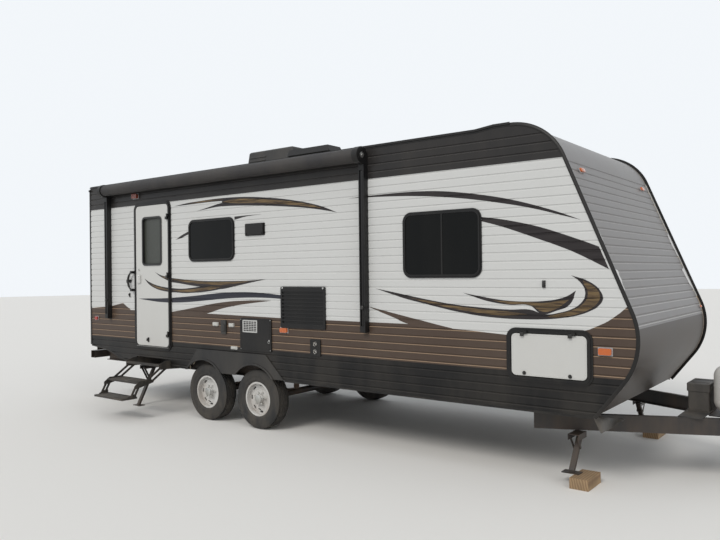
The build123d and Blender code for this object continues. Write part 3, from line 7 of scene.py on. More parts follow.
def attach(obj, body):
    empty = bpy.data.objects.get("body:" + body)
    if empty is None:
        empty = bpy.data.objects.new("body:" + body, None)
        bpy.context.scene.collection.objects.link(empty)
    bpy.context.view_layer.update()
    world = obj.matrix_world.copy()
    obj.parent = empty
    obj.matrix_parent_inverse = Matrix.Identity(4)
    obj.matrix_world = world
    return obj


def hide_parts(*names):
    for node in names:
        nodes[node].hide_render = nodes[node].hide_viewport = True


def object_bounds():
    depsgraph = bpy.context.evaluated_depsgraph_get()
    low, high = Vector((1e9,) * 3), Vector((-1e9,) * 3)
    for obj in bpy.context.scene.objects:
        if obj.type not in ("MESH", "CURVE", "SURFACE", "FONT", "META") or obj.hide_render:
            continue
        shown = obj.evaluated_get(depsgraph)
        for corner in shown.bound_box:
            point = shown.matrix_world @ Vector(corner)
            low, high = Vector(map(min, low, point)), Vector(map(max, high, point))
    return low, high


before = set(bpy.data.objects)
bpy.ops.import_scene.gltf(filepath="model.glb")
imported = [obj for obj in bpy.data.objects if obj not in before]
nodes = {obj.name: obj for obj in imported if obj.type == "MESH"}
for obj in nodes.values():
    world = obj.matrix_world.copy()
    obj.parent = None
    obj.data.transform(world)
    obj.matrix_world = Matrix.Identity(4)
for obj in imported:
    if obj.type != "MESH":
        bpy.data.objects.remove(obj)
cad_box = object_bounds()

# Studio: a pale floor at the ground, an even white sky, one large soft lamp over the camera's
# left shoulder and a weaker one ahead of the nose. The camera stands where the photograph's
# stood, at eye height by the front corner of the door side.
ground = cad_box[0][2]
camera_data = bpy.data.cameras.new("camera")
camera_data.sensor_width = 36.0
camera_data.lens = 34.48
camera = bpy.data.objects.new("camera", camera_data)
bpy.context.scene.collection.objects.link(camera)
camera.matrix_world = (
    Matrix.Translation((0.265, -6.712, 1.329))
    @ Matrix.Rotation(math.radians(37.468), 4, "Z")
    @ Matrix.Rotation(math.radians(90.191), 4, "X")
    @ Matrix.Rotation(math.radians(-0.636), 4, "Z")
)
bpy.context.scene.camera = camera
bpy.context.scene.view_settings.view_transform = "Standard"

bpy.ops.object.select_all(action="DESELECT")
bpy.ops.mesh.primitive_circle_add(
    vertices=64, radius=60.0, fill_type="NGON", location=(-4.0, 0.0, ground)
)
floor_sheet = bpy.context.object
floor_sheet.name = "studio_floor"
bpy.ops.object.transform_apply()
floor_paint = bpy.data.materials.new("studio floor")
floor_paint.use_nodes = True
floor_shader = floor_paint.node_tree.nodes["Principled BSDF"]
floor_shader.inputs["Base Color"].default_value = (0.8, 0.79, 0.77, 1.0)
floor_shader.inputs["Roughness"].default_value = 0.9
floor_sheet.data.materials.append(floor_paint)


def give(tree, target, value):
    """An input takes another node's output, a colour or a plain value."""
    if isinstance(value, bpy.types.NodeSocket):
        tree.links.new(value, target)
    else:
        target.default_value = (*value, 1.0) if target.type == "RGBA" else value


def node(tree, kind, **values):
    """A shader node with its settings and inputs, in one line."""
    made = tree.nodes.new(kind)
    for name, value in values.items():
        if name in made.inputs:
            give(tree, made.inputs[name], value)
        else:
            setattr(made, name, value)
    return made


def math_node(tree, operation, *terms):
    """A Math node's result; each term is a plain number or another node's output."""
    made = node(tree, "ShaderNodeMath", operation=operation)
    for target, term in zip(made.inputs, terms):
        give(tree, target, term)
    return made.outputs[0]


sky = bpy.data.worlds.new("studio sky")
sky.use_nodes = True
bpy.context.scene.world = sky
rays = node(sky.node_tree, "ShaderNodeLightPath").outputs
seen = math_node(sky.node_tree, "ADD", rays["Is Camera Ray"], rays["Is Glossy Ray"])
seen = math_node(sky.node_tree, "ADD", seen, rays["Is Transmission Ray"])
lit_or_seen = {"Value": seen, "To Min": 0.56, "To Max": 0.96}
strength = node(sky.node_tree, "ShaderNodeMapRange", **lit_or_seen).outputs["Result"]
sky_shader = sky.node_tree.nodes["Background"]
give(sky.node_tree, sky_shader.inputs["Color"], (0.93, 0.965, 1.0))
give(sky.node_tree, sky_shader.inputs["Strength"], strength)

for name, energy, angle, turn in (
    ("key lamp", 1.45, 24.0, (50.0, 0.0, 4.0)), ("nose lamp", 0.45, 40.0, (58.0, 0.0, 62.0)),
):
    lamp_data = bpy.data.lights.new(name, "SUN")
    lamp_data.energy = energy
    lamp_data.angle = math.radians(angle)
    lamp_data.color = (1.0, 0.97, 0.92)
    lamp = bpy.data.objects.new(name, lamp_data)
    lamp.rotation_euler = [math.radians(part) for part in turn]
    bpy.context.scene.collection.objects.link(lamp)


# Chassis: two deep steel rails with cross members, an A-shaped channel tongue, a square tube
# bumper and a pressed coupler, all welded and brush-painted black, chipped and dusty by now.
def mix_colours(tree, factor, first, second):
    """A colour mix; each colour is a plain triple or another node's output."""
    made = node(tree, "ShaderNodeMix", data_type="RGBA", Factor=factor, A=first, B=second)
    return made.outputs["Result"]


def place_of(tree):
    """Where a point lies on the object, as a vector for a texture."""
    return node(tree, "ShaderNodeTexCoord").outputs["Object"]


def axes_of(tree):
    """Where a point lies on the object: X forward, Y to the road side and Z up."""
    return node(tree, "ShaderNodeSeparateXYZ", Vector=place_of(tree)).outputs


weathering = bpy.data.node_groups.new("weathering", "ShaderNodeTree")
for name, kind, way in (
    ("Color", "Color", "INPUT"), ("Film", "Color", "INPUT"), ("Film amount", "Float", "INPUT"),
    ("Film height", "Float", "INPUT"), ("Patch scale", "Float", "INPUT"),
    ("Grain scale", "Float", "INPUT"), ("Roughness", "Float", "INPUT"),
    ("Color", "Color", "OUTPUT"), ("Roughness", "Float", "OUTPUT"), ("Height", "Float", "OUTPUT"),
):
    weathering.interface.new_socket(name, in_out=way, socket_type=f"NodeSocket{kind}")
given = node(weathering, "NodeGroupInput").outputs
place = place_of(weathering)
stretch = node(weathering, "ShaderNodeMapping", Vector=place, Scale=(1.0, 1.0, 0.35))
patches = node(
    weathering, "ShaderNodeTexNoise", Vector=stretch.outputs["Vector"],
    Scale=given["Patch scale"], Detail=5.0, Roughness=0.6,
)
grains = node(
    weathering, "ShaderNodeTexNoise", Vector=place, Scale=given["Grain scale"], Detail=2.0
)
over_ground = math_node(weathering, "ADD", axes_of(weathering)["Z"], -ground)
low_down = node(weathering, "ShaderNodeMapRange", **{
    "Value": over_ground, "From Min": 0.0, "From Max": given["Film height"],
    "To Min": 1.0, "To Max": 0.25,
})
patchy = node(weathering, "ShaderNodeMapRange", **{
    "Value": patches.outputs["Fac"], "From Min": 0.36, "From Max": 0.68,
})
share = math_node(weathering, "MULTIPLY", patchy.outputs["Result"], low_down.outputs["Result"])
share = math_node(weathering, "MULTIPLY", share, given["Film amount"])
node(
    weathering, "NodeGroupOutput",
    Color=mix_colours(weathering, share, given["Color"], given["Film"]),
    Roughness=math_node(weathering, "MULTIPLY_ADD", share, 0.5, given["Roughness"]),
    Height=grains.outputs["Fac"],
)


def finish(
    name, colour, roughness, film=0.25, film_height=1.2, patch=3.0, grain=250.0, bump=0.0006,
    film_colour=(0.3, 0.26, 0.21), **shader_values
):
    """A worn finish: a colour under patchy road film, with a fine grain in its surface."""
    made = bpy.data.materials.new(name)
    made.use_nodes = True
    tree = made.node_tree
    worn = node(tree, "ShaderNodeGroup", node_tree=weathering, name="worn", **{
        "Color": colour, "Film": film_colour, "Film amount": film, "Film height": film_height,
        "Patch scale": patch, "Grain scale": grain, "Roughness": roughness,
    })
    relief = node(
        tree, "ShaderNodeBump", name="relief", Strength=0.35, Distance=bump,
        Height=worn.outputs["Height"],
    )
    shader = tree.nodes["Principled BSDF"]
    give(tree, shader.inputs["Base Color"], worn.outputs["Color"])
    give(tree, shader.inputs["Roughness"], worn.outputs["Roughness"])
    give(tree, shader.inputs["Normal"], relief.outputs["Normal"])
    for key, value in shader_values.items():
        give(tree, shader.inputs[key.replace("_", " ").title().replace("Ior", "IOR")], value)
    return made


def dress(material, *names):
    """Gives CAD nodes a material through their objects' slots."""
    for name in names:
        for slot in nodes[name].material_slots:
            slot.material = material


frame_paint = finish(
    "frame paint", (0.016, 0.016, 0.017), 0.42, film=0.55, grain=120.0, bump=0.001,
    film_colour=(0.16, 0.105, 0.065),
)
dress(
    frame_paint, "chassis_frame", "bumper", "axles", "gas_bottle_rack",
    *[name for name in nodes if name.startswith("stabilizer_")],
)
coupler_steel = finish(
    "coupler steel", (0.05, 0.05, 0.052), 0.38, film=0.5, patch=22.0, grain=300.0,
    film_colour=(0.26, 0.16, 0.09), metallic=0.6,
)
dress(coupler_steel, "coupler")
spring_steel = finish(
    "spring steel", (0.05, 0.042, 0.036), 0.5, film=0.75, patch=14.0,
    film_colour=(0.19, 0.1, 0.05),
)
dress(spring_steel, "leaf_springs")


# Coupler bolts: zinc-plated hex bolts, two a side, that hold the coupler's sleeve to the tip
# of the tongue.
def begin():
    """Object mode with nothing selected, before a piece is added or finished."""
    if bpy.context.object and bpy.context.object.mode != "OBJECT":
        bpy.ops.object.mode_set(mode="OBJECT")
    bpy.ops.object.select_all(action="DESELECT")


def take(piece):
    """Object mode with one piece selected and active."""
    begin()
    piece.select_set(True)
    bpy.context.view_layer.objects.active = piece


def edit(piece):
    """Edit mode on one piece, with all of it selected."""
    take(piece)
    bpy.ops.object.mode_set(mode="EDIT")
    bpy.ops.mesh.select_all(action="SELECT")


def settle(piece, name, material, body="trailer", angle=35.0):
    """Places, names, smooths and paints a finished piece and sets it on its body."""
    take(piece)
    bpy.ops.object.transform_apply()
    bpy.ops.object.shade_smooth_by_angle(angle=math.radians(angle))
    piece.name = piece.data.name = name
    piece.data.materials.clear()
    piece.data.materials.append(material)
    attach(piece, body)


def merge(pieces):
    """Several pieces joined into one mesh."""
    take(pieces[0])
    for piece in pieces:
        piece.select_set(True)
    if len(pieces) > 1:
        bpy.ops.object.join()
    return bpy.context.object


def turn_over(piece):
    """Turns the faces of a piece to look the other way."""
    edit(piece)
    bpy.ops.mesh.flip_normals()
    begin()


mm = 1000.0  # millimetres in a metre
origin = (0.0, 0.0, 0.0)
to_curb, upwards = (0.0, -1.0, 0.0), (0.0, 0.0, 1.0)


def copy_of(piece, move=origin, mirror=False):
    """A copy with its own mesh, moved, or mirrored to the road side."""
    take(piece)
    bpy.ops.object.duplicate()
    made = bpy.context.object
    if mirror:
        made.scale.y = -1.0
    made.location = move
    bpy.ops.object.transform_apply()
    if mirror:
        turn_over(made)
    return made


def discard(*templates):
    """Removes what was only made to be copied."""
    for piece in templates:
        bpy.data.objects.remove(piece)


def line_of(points, closed=False):
    """A straight-edged curve through points in space."""
    begin()
    bpy.ops.curve.primitive_bezier_curve_add(location=origin)
    made = bpy.context.object
    made.data.splines.clear()
    run = made.data.splines.new("POLY")
    run.points.add(len(points) - 1)
    for point, position in zip(run.points, points):
        point.co = (*position, 1.0)
    run.use_cyclic_u = closed
    return made


def as_mesh(curve):
    """A curve made a mesh."""
    take(curve)
    bpy.ops.object.convert(target="MESH")
    return bpy.context.object


def weld(piece):
    """Joins the doubled points of a piece and turns its faces outwards."""
    edit(piece)
    bpy.ops.mesh.remove_doubles(threshold=0.00002)
    bpy.ops.mesh.normals_make_consistent(inside=False)
    begin()


def turned(centre, axis, profile, steps=32):
    """A part turned on a lathe; its profile gives millimetres along an axis and out from it."""
    axis = Vector(axis)
    out = axis.orthogonal().normalized()
    made = as_mesh(line_of([
        Vector(centre) + axis * (along / mm) + out * (radius / mm) for along, radius in profile
    ]))
    edit(made)
    bpy.ops.mesh.spin(steps=steps, angle=math.tau, center=centre, axis=axis)
    weld(made)
    return made


plated = finish("zinc plate", (0.55, 0.55, 0.53), 0.32, film=0.35, patch=30.0, metallic=1.0)
hex_bolt = turned(origin, to_curb, (
    (0, 0), (0, 12), (2.5, 12), (2.5, 9.5), (9.5, 9.5), (10.5, 8), (10.5, 0),
), steps=12)
coupler_bolts = [copy_of(hex_bolt, (forward, -0.0625, 0.02)) for forward in (-0.155, -0.215)]
coupler_bolts += [copy_of(each, mirror=True) for each in coupler_bolts]
settle(merge(coupler_bolts), "coupler_bolts", plated)
discard(hex_bolt)

# Tyres: four radial trailer tyres, 688 mm across, turned from one section with four tread
# grooves, a rim guard and raised sidewall rings; the shoulder ribs are cut into blocks.
tyre_rubber = finish(
    "tyre rubber", (0.014, 0.014, 0.0145), 0.68, film=0.38, patch=9.0, grain=220.0, bump=0.0015,
    film_colour=(0.17, 0.145, 0.115), film_height=0.9,
)
tyre_half = (
    (0, 340.5), (10, 340.5), (11.5, 333.5), (17.5, 333.5), (19, 340.5), (46, 340), (47.5, 333),
    (53.5, 333), (55, 339.2), (77, 337), (86, 327), (92.5, 313), (97.5, 296), (101.5, 277),
    (102.5, 268), (101, 266), (102.5, 264), (101.2, 248), (99.2, 246.5), (100, 244), (95.5, 225),
    (96.5, 220), (93.5, 213), (85, 206), (80, 190),
)
tyre_section = [(-out, radius) for out, radius in reversed(tyre_half[1:])] + list(tyre_half)
wheel_forward, wheel_height = -5.49, -0.111
wheel_place = Vector((wheel_forward, -1.075, wheel_height))
tyre = turned(wheel_place, (0.0, 1.0, 0.0), tyre_section + [tyre_section[0]], steps=90)


def pick_faces(piece, wanted):
    """Edit mode with the faces selected that wanted says yes to, and nothing else."""
    begin()
    for part in (*piece.data.vertices, *piece.data.edges):
        part.select = False
    for face in piece.data.polygons:
        face.select = bool(wanted(face))
    take(piece)
    bpy.ops.object.mode_set(mode="EDIT")
    bpy.ops.mesh.select_mode(type="FACE")


for inner, outer, least_reach, pitch, depth in (
    (0.055, 0.0765, 0.33, 8.0, -0.006), (0.02, 0.046, 0.338, 12.0, -0.004),
):
    def is_tread_block(face):
        middle = face.center - wheel_place
        turn = math.degrees(math.atan2(middle.z, middle.x)) % pitch
        rib_painted_highlight = inner < abs(middle.y) < outer and math.hypot(middle.x, middle.z) > least_reach
        return rib_painted_highlight and turn < 4.0

    pick_faces(tyre, is_tread_block)
    bpy.ops.mesh.inset(thickness=0.0025, depth=depth, use_individual=True)
    begin()

axle_gap = -0.87
wheel_spots = (
    ("curb_front", 0.0, False), ("curb_rear", axle_gap, False),
    ("road_front", 0.0, True), ("road_rear", axle_gap, True),
)
for spot, move, mirror in wheel_spots:
    each = copy_of(tyre, mirror=mirror)
    each.location.x = move
    settle(each, f"tread_tyre_{spot}", tyre_rubber, f"wheel_{spot}")
    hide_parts(f"tyre_{spot}")
discard(tyre)

# Wheels: white-painted pressed steel rims with eight hand holes, each with five plated cone
# nuts, a bright grease cap over the hub and a rubber valve through the disc.
rim_paint = finish(
    "rim paint", (0.58, 0.58, 0.57), 0.36, film=0.7, patch=7.0, grain=160.0, film_height=0.75,
    film_colour=(0.24, 0.18, 0.13),
)
dress(rim_paint, *[name for name in nodes if name.startswith("rim_")])
cap = turned((wheel_forward, -1.151, wheel_height), to_curb, (
    (0, 0), (0, 47.5), (4, 47.5), (6, 40), (7.5, 36), (7.5, 0),
), steps=40)
nut_circle = 0.068
cone_nut = turned((wheel_forward, -1.131, wheel_height + nut_circle), to_curb, (
    (0, 0), (0, 13.5), (3, 13.5), (3.5, 12.5), (12, 12.5), (14, 10.5), (14, 0),
), steps=6)
wheel_nuts = []
for count in range(5):
    wheel_nuts.append(copy_of(cone_nut))
    edit(wheel_nuts[-1])
    bpy.ops.transform.rotate(
        value=math.radians(72.0 * count), orient_axis="Y",
        center_override=(wheel_forward, 0.0, wheel_height),
    )
bright_parts = merge([cap, *wheel_nuts])
valve = turned((wheel_forward, -1.112, wheel_height - 0.128), (0.0, -0.86, 0.5), (
    (0, 0), (0, 7.5), (10, 6.2), (26, 5.5), (27, 4.6), (36, 4.6), (38, 3.6), (38, 0),
), steps=16)
valve_rubber = finish("valve rubber", (0.015, 0.015, 0.015), 0.6, film=0.2)
for spot, move, mirror in wheel_spots:
    for made, name, paint in (
        (bright_parts, "nuts_and_cap", plated), (valve, "valve", valve_rubber),
    ):
        each = copy_of(made, mirror=mirror)
        each.location.x = move
        settle(each, f"{name}_{spot}", paint, f"wheel_{spot}", angle=25.0)
discard(cone_nut, bright_parts, valve)

# Floor: plywood deck on the chassis, and the black woven underbelly sheet screwed up beneath.
# One corner of the sheet behind the nose has come loose and hangs down.
floor_wood = finish("floor board", (0.36, 0.25, 0.15), 0.7, film=0.3, grain=60.0)
dress(floor_wood, "floor")
belly_sheet = finish("underbelly sheet", (0.02, 0.02, 0.02), 0.5, film=0.7, grain=400.0)
dress(belly_sheet, "underbelly")
corner_length, corner_width = 0.22, 0.09
begin()
bpy.ops.mesh.primitive_grid_add(
    x_subdivisions=14, y_subdivisions=10, size=1.0, location=(-1.505, -1.17, 0.19)
)
loose_corner = bpy.context.object
edit(loose_corner)
bpy.ops.transform.resize(value=(corner_length, corner_width, 1.0))
begin()
for point in loose_corner.data.vertices:
    along = point.co.x / corner_length + 0.5
    across = point.co.y / corner_width + 0.5
    hang = 0.132 * min(1.0, along / 0.2) * (1.0 - max(0.0, along - 0.2) / 0.8) * (1.0 - across)
    point.co.z = -0.042 - hang + 0.004 * math.sin(9.0 * along)
    point.co.y += 0.05 * (1.0 - across) * math.sin(math.pi * along) - 0.008 * across
loose_corner.modifiers.new("sheet", "SOLIDIFY").thickness = 0.0025
take(loose_corner)
bpy.ops.object.modifier_apply(modifier="sheet")
settle(loose_corner, "loose_sheet_corner", belly_sheet, angle=60.0)

# Side and rear walls: prefinished ribbed aluminium sheet, screwed along the corner rails.
# Its baked paint is white with a dark grey band at the roof, a brown band below the windows
# and a black band at the floor; the ribs' upward edges get a painted highlight, a lighter tone of
# each band.
siding_paint = finish(
    "ribbed siding", (0.6, 0.6, 0.6), 0.36, film=0.12, grain=90.0, bump=0.0003,
    specular_ior_level=0.28,
)
tree = siding_paint.node_tree
forward, sideways, height = axes_of(tree)
body_rear, body_length, skirt_top, band_low = -8.79, 7.6, 0.47, 2.255
along = node(tree, "ShaderNodeMapRange", **{
    "Value": forward, "From Min": body_rear, "From Max": body_rear + body_length,
})
brown_edge = node(tree, "ShaderNodeFloatCurve", Value=along.outputs["Result"])
edge_curve = brown_edge.mapping.curves[0]
brown_top = (
    (0.0, 1.316), (0.507, 1.356), (0.769, 1.402), (0.951, 1.311), (1.872, 1.3),
    (2.487, 1.306), (3.752, 1.29), (5.414, 1.287), (5.976, 1.258), (6.445, 1.23),
    (6.8, 1.238), (7.0, 1.262), (7.15, 1.305), (7.29, 1.37), (7.4, 1.45),
    (7.6, 1.64),
)
while len(edge_curve.points) < len(brown_top):
    edge_curve.points.new(0.5, 0.5)
for point, (station, level) in zip(edge_curve.points, brown_top):
    point.location = (station / body_length, level - 1.0)
    point.handle_type = "VECTOR"
brown_edge.mapping.update()
edge_height = math_node(tree, "ADD", brown_edge.outputs["Value"], 1.0 + ground)
below_edge = math_node(tree, "LESS_THAN", height, edge_height)
below_skirt = math_node(tree, "LESS_THAN", height, skirt_top)
above_band = math_node(tree, "GREATER_THAN", height, band_low)
zone_colour = mix_colours(tree, below_edge, (0.56, 0.565, 0.56), (0.066, 0.045, 0.034))
zone_colour = mix_colours(tree, below_skirt, zone_colour, (0.0075, 0.0072, 0.0075))
zone_colour = mix_colours(tree, above_band, zone_colour, (0.018, 0.0168, 0.0168))
# Painted highlight: a lighter tone of each band for the ribs' upward-facing flanks, for the light
# they catch.
rib_painted_highlight = mix_colours(tree, below_edge, (0.62, 0.62, 0.61), (0.42, 0.3, 0.2))
rib_painted_highlight = mix_colours(tree, below_skirt, rib_painted_highlight, (0.04, 0.037, 0.034))
rib_painted_highlight = mix_colours(tree, above_band, rib_painted_highlight, (0.085, 0.08, 0.078))


def facing_up(tree, least):
    """Where a surface faces upwards by at least a share, as ribs' upper edges do; it places the
    painted rib highlights.
    """
    facing = node(tree, "ShaderNodeTexCoord").outputs["Normal"]
    slope = node(tree, "ShaderNodeSeparateXYZ", Vector=facing)
    return math_node(tree, "GREATER_THAN", slope.outputs["Z"], least)


def within(tree, axis, middle, reach):
    """Where a point lies within reach of a place on one axis."""
    away = math_node(tree, "ABSOLUTE", math_node(tree, "SUBTRACT", axis, middle))
    return math_node(tree, "LESS_THAN", away, reach)


def repaint(tree, factor, first, second):
    """Two tones or finer mixes in place of a paint's plain colour, still under its film."""
    toned = mix_colours(tree, factor, first, second)
    give(tree, tree.nodes["worn"].inputs["Color"], toned)


# The painted rib highlight goes where a face points up, at 70 per cent.
rib_highlight_share = math_node(tree, "MULTIPLY", facing_up(tree, 0.3), 0.7)
zone_colour = mix_colours(tree, rib_highlight_share, zone_colour, rib_painted_highlight)
past_rear = math_node(tree, "GREATER_THAN", forward, body_rear + 0.025)
inside = math_node(tree, "MULTIPLY", within(tree, sideways, 0.0, 1.1885), past_rear)
repaint(tree, inside, zone_colour, (0.46, 0.4, 0.32))
dress(siding_paint, "curb_side_wall", "road_side_wall", "rear_wall")

# Vinyl graphics: cast film cut to curved outlines and rolled down over the ribs of both side
# walls and the door; dark, navy and brown cuts, with bronze cores laid on the dark ones.
skin = -1.219
door_skin_face = -1.235
rib_lines = [0.187 + 0.0762 * count for count in range(31)]
same_point = 0.0005


def cut_film(edges, lift, face=skin, share=(0.0, 1.0), span=(0, None)):
    """Film standing on a wall between two edges of one stripe, in millimetres forward and up;
    share takes only part of its width, and span only some of its points, for a core."""
    top, low = ([(x / mm, z / mm) for x, z in edge[span[0]:span[1]]] for edge in edges)
    upper, lower = (
        [(t[0] + (b[0] - t[0]) * part, t[1] + (b[1] - t[1]) * part) for t, b in zip(top, low)]
        for part in share
    )
    if span != (0, None) or share != (0.0, 1.0):
        for end in (0, -1):
            tip = tuple((one + other) / 2 for one, other in zip(upper[end], lower[end]))
            upper[end] = lower[end] = tip
    kept = []
    for point in upper + lower[::-1]:
        if not kept or math.dist(point, kept[-1]) > same_point:
            kept.append(point)
    if math.dist(kept[0], kept[-1]) < same_point:
        kept.pop()
    begin()
    bpy.ops.curve.primitive_bezier_curve_add(location=origin)
    film = bpy.context.object
    film.data.splines.clear()
    film.data.dimensions = "2D"
    film.data.fill_mode = "BOTH"
    film.data.resolution_u = 5
    cut = film.data.splines.new("BEZIER")
    cut.bezier_points.add(len(kept) - 1)
    cut.use_cyclic_u = True
    for point, position in zip(cut.bezier_points, kept):
        point.co = (*position, 0.0)
        ends = (upper[0], lower[0], upper[-1], lower[-1])
        corner = any(math.dist(position, end) < same_point for end in ends)
        point.handle_left_type = point.handle_right_type = "VECTOR" if corner else "AUTO"
    film = as_mesh(film)
    film.rotation_euler.x = math.radians(90.0)
    film.location.y = face - lift
    bpy.ops.object.transform_apply()
    if film.data.polygons[0].normal.y > 0:
        turn_over(film)
    return film


def roll_down(film):
    """Presses film into the ribs' grooves: cut along each groove's edges, floor pushed in."""
    heights = [corner[2] for corner in film.bound_box]
    for line in rib_lines:
        if min(heights) - 0.01 < line < max(heights) + 0.01:
            for offset in (-0.009, -0.0035, 0.0035, 0.009):
                edit(film)
                bpy.ops.mesh.bisect(plane_co=(0.0, 0.0, line + offset), plane_no=upwards)
    begin()
    for point in film.data.vertices:
        if min(abs(point.co.z - line) for line in rib_lines) < 0.0037:
            point.co.y += 0.006
    return film


stripes = {
    "over_window_tail_high": (
        ((-6907, 2188), (-6640, 2211), (-6393, 2220), (-6172, 2226), (-5958, 2226)),
        ((-6907, 2188), (-6641, 2190), (-6393, 2194), (-6172, 2195), (-5958, 2191)),
    ),
    "over_window_tail_low": (
        ((-6451, 2102), (-6301, 2124), (-6173, 2145), (-6047, 2165), (-5924, 2175)),
        ((-6451, 2102), (-6301, 2112), (-6173, 2123), (-6048, 2129), (-5924, 2128)),
    ),
    "over_window": (
        ((-5993, 2226), (-5785, 2221), (-5517, 2205), (-5260, 2178), (-5013, 2146), (-4805, 2110),
         (-4604, 2068), (-4424, 2019), (-4235, 1949)),
        ((-5995, 2128), (-5786, 2122), (-5519, 2106), (-5262, 2087), (-5015, 2063), (-4806, 2041),
         (-4605, 2015), (-4424, 1985), (-4235, 1949)),
    ),
    "window_left": (
        ((-6864, 1767), (-6764, 1811), (-6685, 1838), (-6588, 1868)),
        ((-6864, 1767), (-6764, 1781), (-6686, 1804), (-6588, 1831)),
    ),
    "window_right": (
        ((-6175, 1993), (-5944, 1991), (-5754, 1995), (-5570, 1997), (-5326, 1995)),
        ((-6176, 1965), (-5945, 1952), (-5789, 1957), (-5603, 1983), (-5326, 1995)),
    ),
    "two_sweeps": (
        ((-6957, 1283), (-6792, 1270), (-6598, 1256), (-6315, 1244), (-6044, 1242), (-5783, 1244),
         (-5532, 1249), (-5274, 1264)),
        ((-6957, 1230), (-6793, 1215), (-6599, 1193), (-6316, 1169), (-6045, 1147), (-5784, 1183),
         (-5532, 1223), (-5274, 1264)),
    ),
    "two_sweeps_low": (
        ((-6957, 1155), (-6755, 1148), (-6561, 1161), (-6353, 1184), (-6170, 1203), (-6009, 1208)),
        ((-6957, 1103), (-6756, 1097), (-6562, 1099), (-6354, 1111), (-6171, 1129), (-6010, 1152)),
    ),
    "navy": (
        ((-6957, 1032), (-6717, 1048), (-6486, 1065), (-6226, 1088), (-5958, 1107), (-5700, 1115),
         (-5452, 1113), (-5214, 1100), (-5014, 1085)),
        ((-6957, 971), (-6718, 979), (-6487, 994), (-6227, 1015), (-5959, 1036), (-5701, 1049),
         (-5453, 1055), (-5214, 1053), (-5015, 1045)),
    ),
    "brown_wave": (
        ((-6957, 855), (-6700, 890), (-6413, 935), (-6137, 976), (-5872, 1004), (-5618, 1018),
         (-5405, 1024), (-5199, 1022)),
        ((-6957, 795), (-6702, 802), (-6415, 829), (-6266, 855), (-6013, 917), (-5753, 961),
         (-5503, 991), (-5199, 1022)),
    ),
    "brown_tail": (
        ((-3862, 993), (-3703, 961), (-3525, 927), (-3352, 894), (-3185, 863), (-3023, 832),
         (-2897, 810)),
        ((-3862, 993), (-3703, 939), (-3549, 891), (-3410, 841), (-3241, 813), (-3066, 805),
         (-2897, 799)),
    ),
    "front_upper": (
        ((-4089, 2081), (-3810, 2087), (-3451, 2090), (-3224, 2084), (-3006, 2068), (-2798, 2040),
         (-2598, 2005), (-2405, 1965), (-2220, 1917), (-2042, 1862), (-1870, 1802), (-1697, 1732)),
        ((-4089, 2081), (-3810, 2073), (-3451, 2056), (-3224, 2039), (-3007, 2016), (-2799, 1988),
         (-2598, 1955), (-2406, 1918), (-2220, 1879), (-2042, 1834), (-1870, 1783), (-1697, 1732)),
    ),
    "front_dark": (
        ((-2620, 1811), (-2407, 1778), (-2222, 1738), (-2044, 1691), (-1872, 1633), (-1748, 1587),
         (-1642, 1547), (-1555, 1512)),
        ((-2620, 1778), (-2408, 1717), (-2223, 1653), (-2045, 1587), (-1874, 1523), (-1749, 1470),
         (-1628, 1410), (-1479, 1332)),
    ),
    "front_sweep": (
        ((-3749, 1167), (-3522, 1130), (-3293, 1090), (-3073, 1055), (-2863, 1026), (-2690, 1012),
         (-2513, 1001), (-2324, 994), (-2141, 998), (-2009, 962), (-1880, 980), (-1771, 1016),
         (-1705, 1062), (-1672, 1119), (-1675, 1175), (-1703, 1223), (-1743, 1259), (-1784, 1286)),
        ((-3749, 1167), (-3581, 1120), (-3407, 1074), (-3238, 1039), (-3042, 1000), (-2853, 965),
         (-2651, 936), (-2418, 918), (-2187, 915), (-2010, 921), (-1864, 936), (-1739, 960),
         (-1633, 998), (-1561, 1044), (-1529, 1097), (-1551, 1164), (-1630, 1231), (-1784, 1286)),
    ),
    "front_crescent": (
        ((-2779, 1134), (-2609, 1105), (-2464, 1083), (-2323, 1069), (-2140, 1066), (-2008, 1074),
         (-1896, 1091), (-1811, 1120), (-1745, 1162)),
        ((-2779, 1134), (-2639, 1091), (-2512, 1059), (-2323, 1035), (-2141, 1032), (-2035, 964),
         (-1914, 993), (-1796, 1049), (-1745, 1162)),
    ),
    "door_high": (
        ((-7281, 1362), (-7156, 1320), (-7053, 1302), (-6965, 1288)),
        ((-7281, 1362), (-7156, 1298), (-7053, 1268), (-6966, 1247)),
    ),
    "door_low": (
        ((-7508, 1278), (-7389, 1229), (-7241, 1190), (-7096, 1169), (-6967, 1158)),
        ((-7508, 1278), (-7411, 1204), (-7263, 1147), (-7117, 1119), (-6968, 1107)),
    ),
    "door_navy": (
        ((-7644, 1012), (-7436, 1018), (-7223, 1021), (-6969, 1030)),
        ((-7644, 1012), (-7436, 994), (-7224, 978), (-6970, 971)),
    ),
}


def film_paint(name, dark, light, streak=1.0):
    """Cast vinyl: a dark and a light tone in long streaks that run with the trailer."""
    made = finish(
        name, dark, 0.34, film=0.1, grain=140.0, bump=0.0002, specular_ior_level=0.28
    )
    tree = made.node_tree
    run = node(tree, "ShaderNodeMapping", Vector=place_of(tree), Scale=(1.6, 1.0, 30.0))
    tone = node(
        tree, "ShaderNodeTexNoise", Vector=run.outputs["Vector"], Scale=streak, Detail=4.0,
        Roughness=0.65,
    )
    spread = node(tree, "ShaderNodeMapRange", **{
        "Value": tone.outputs["Fac"], "From Min": 0.4, "From Max": 0.62,
    })
    repaint(tree, spread.outputs["Result"], dark, light)
    return made


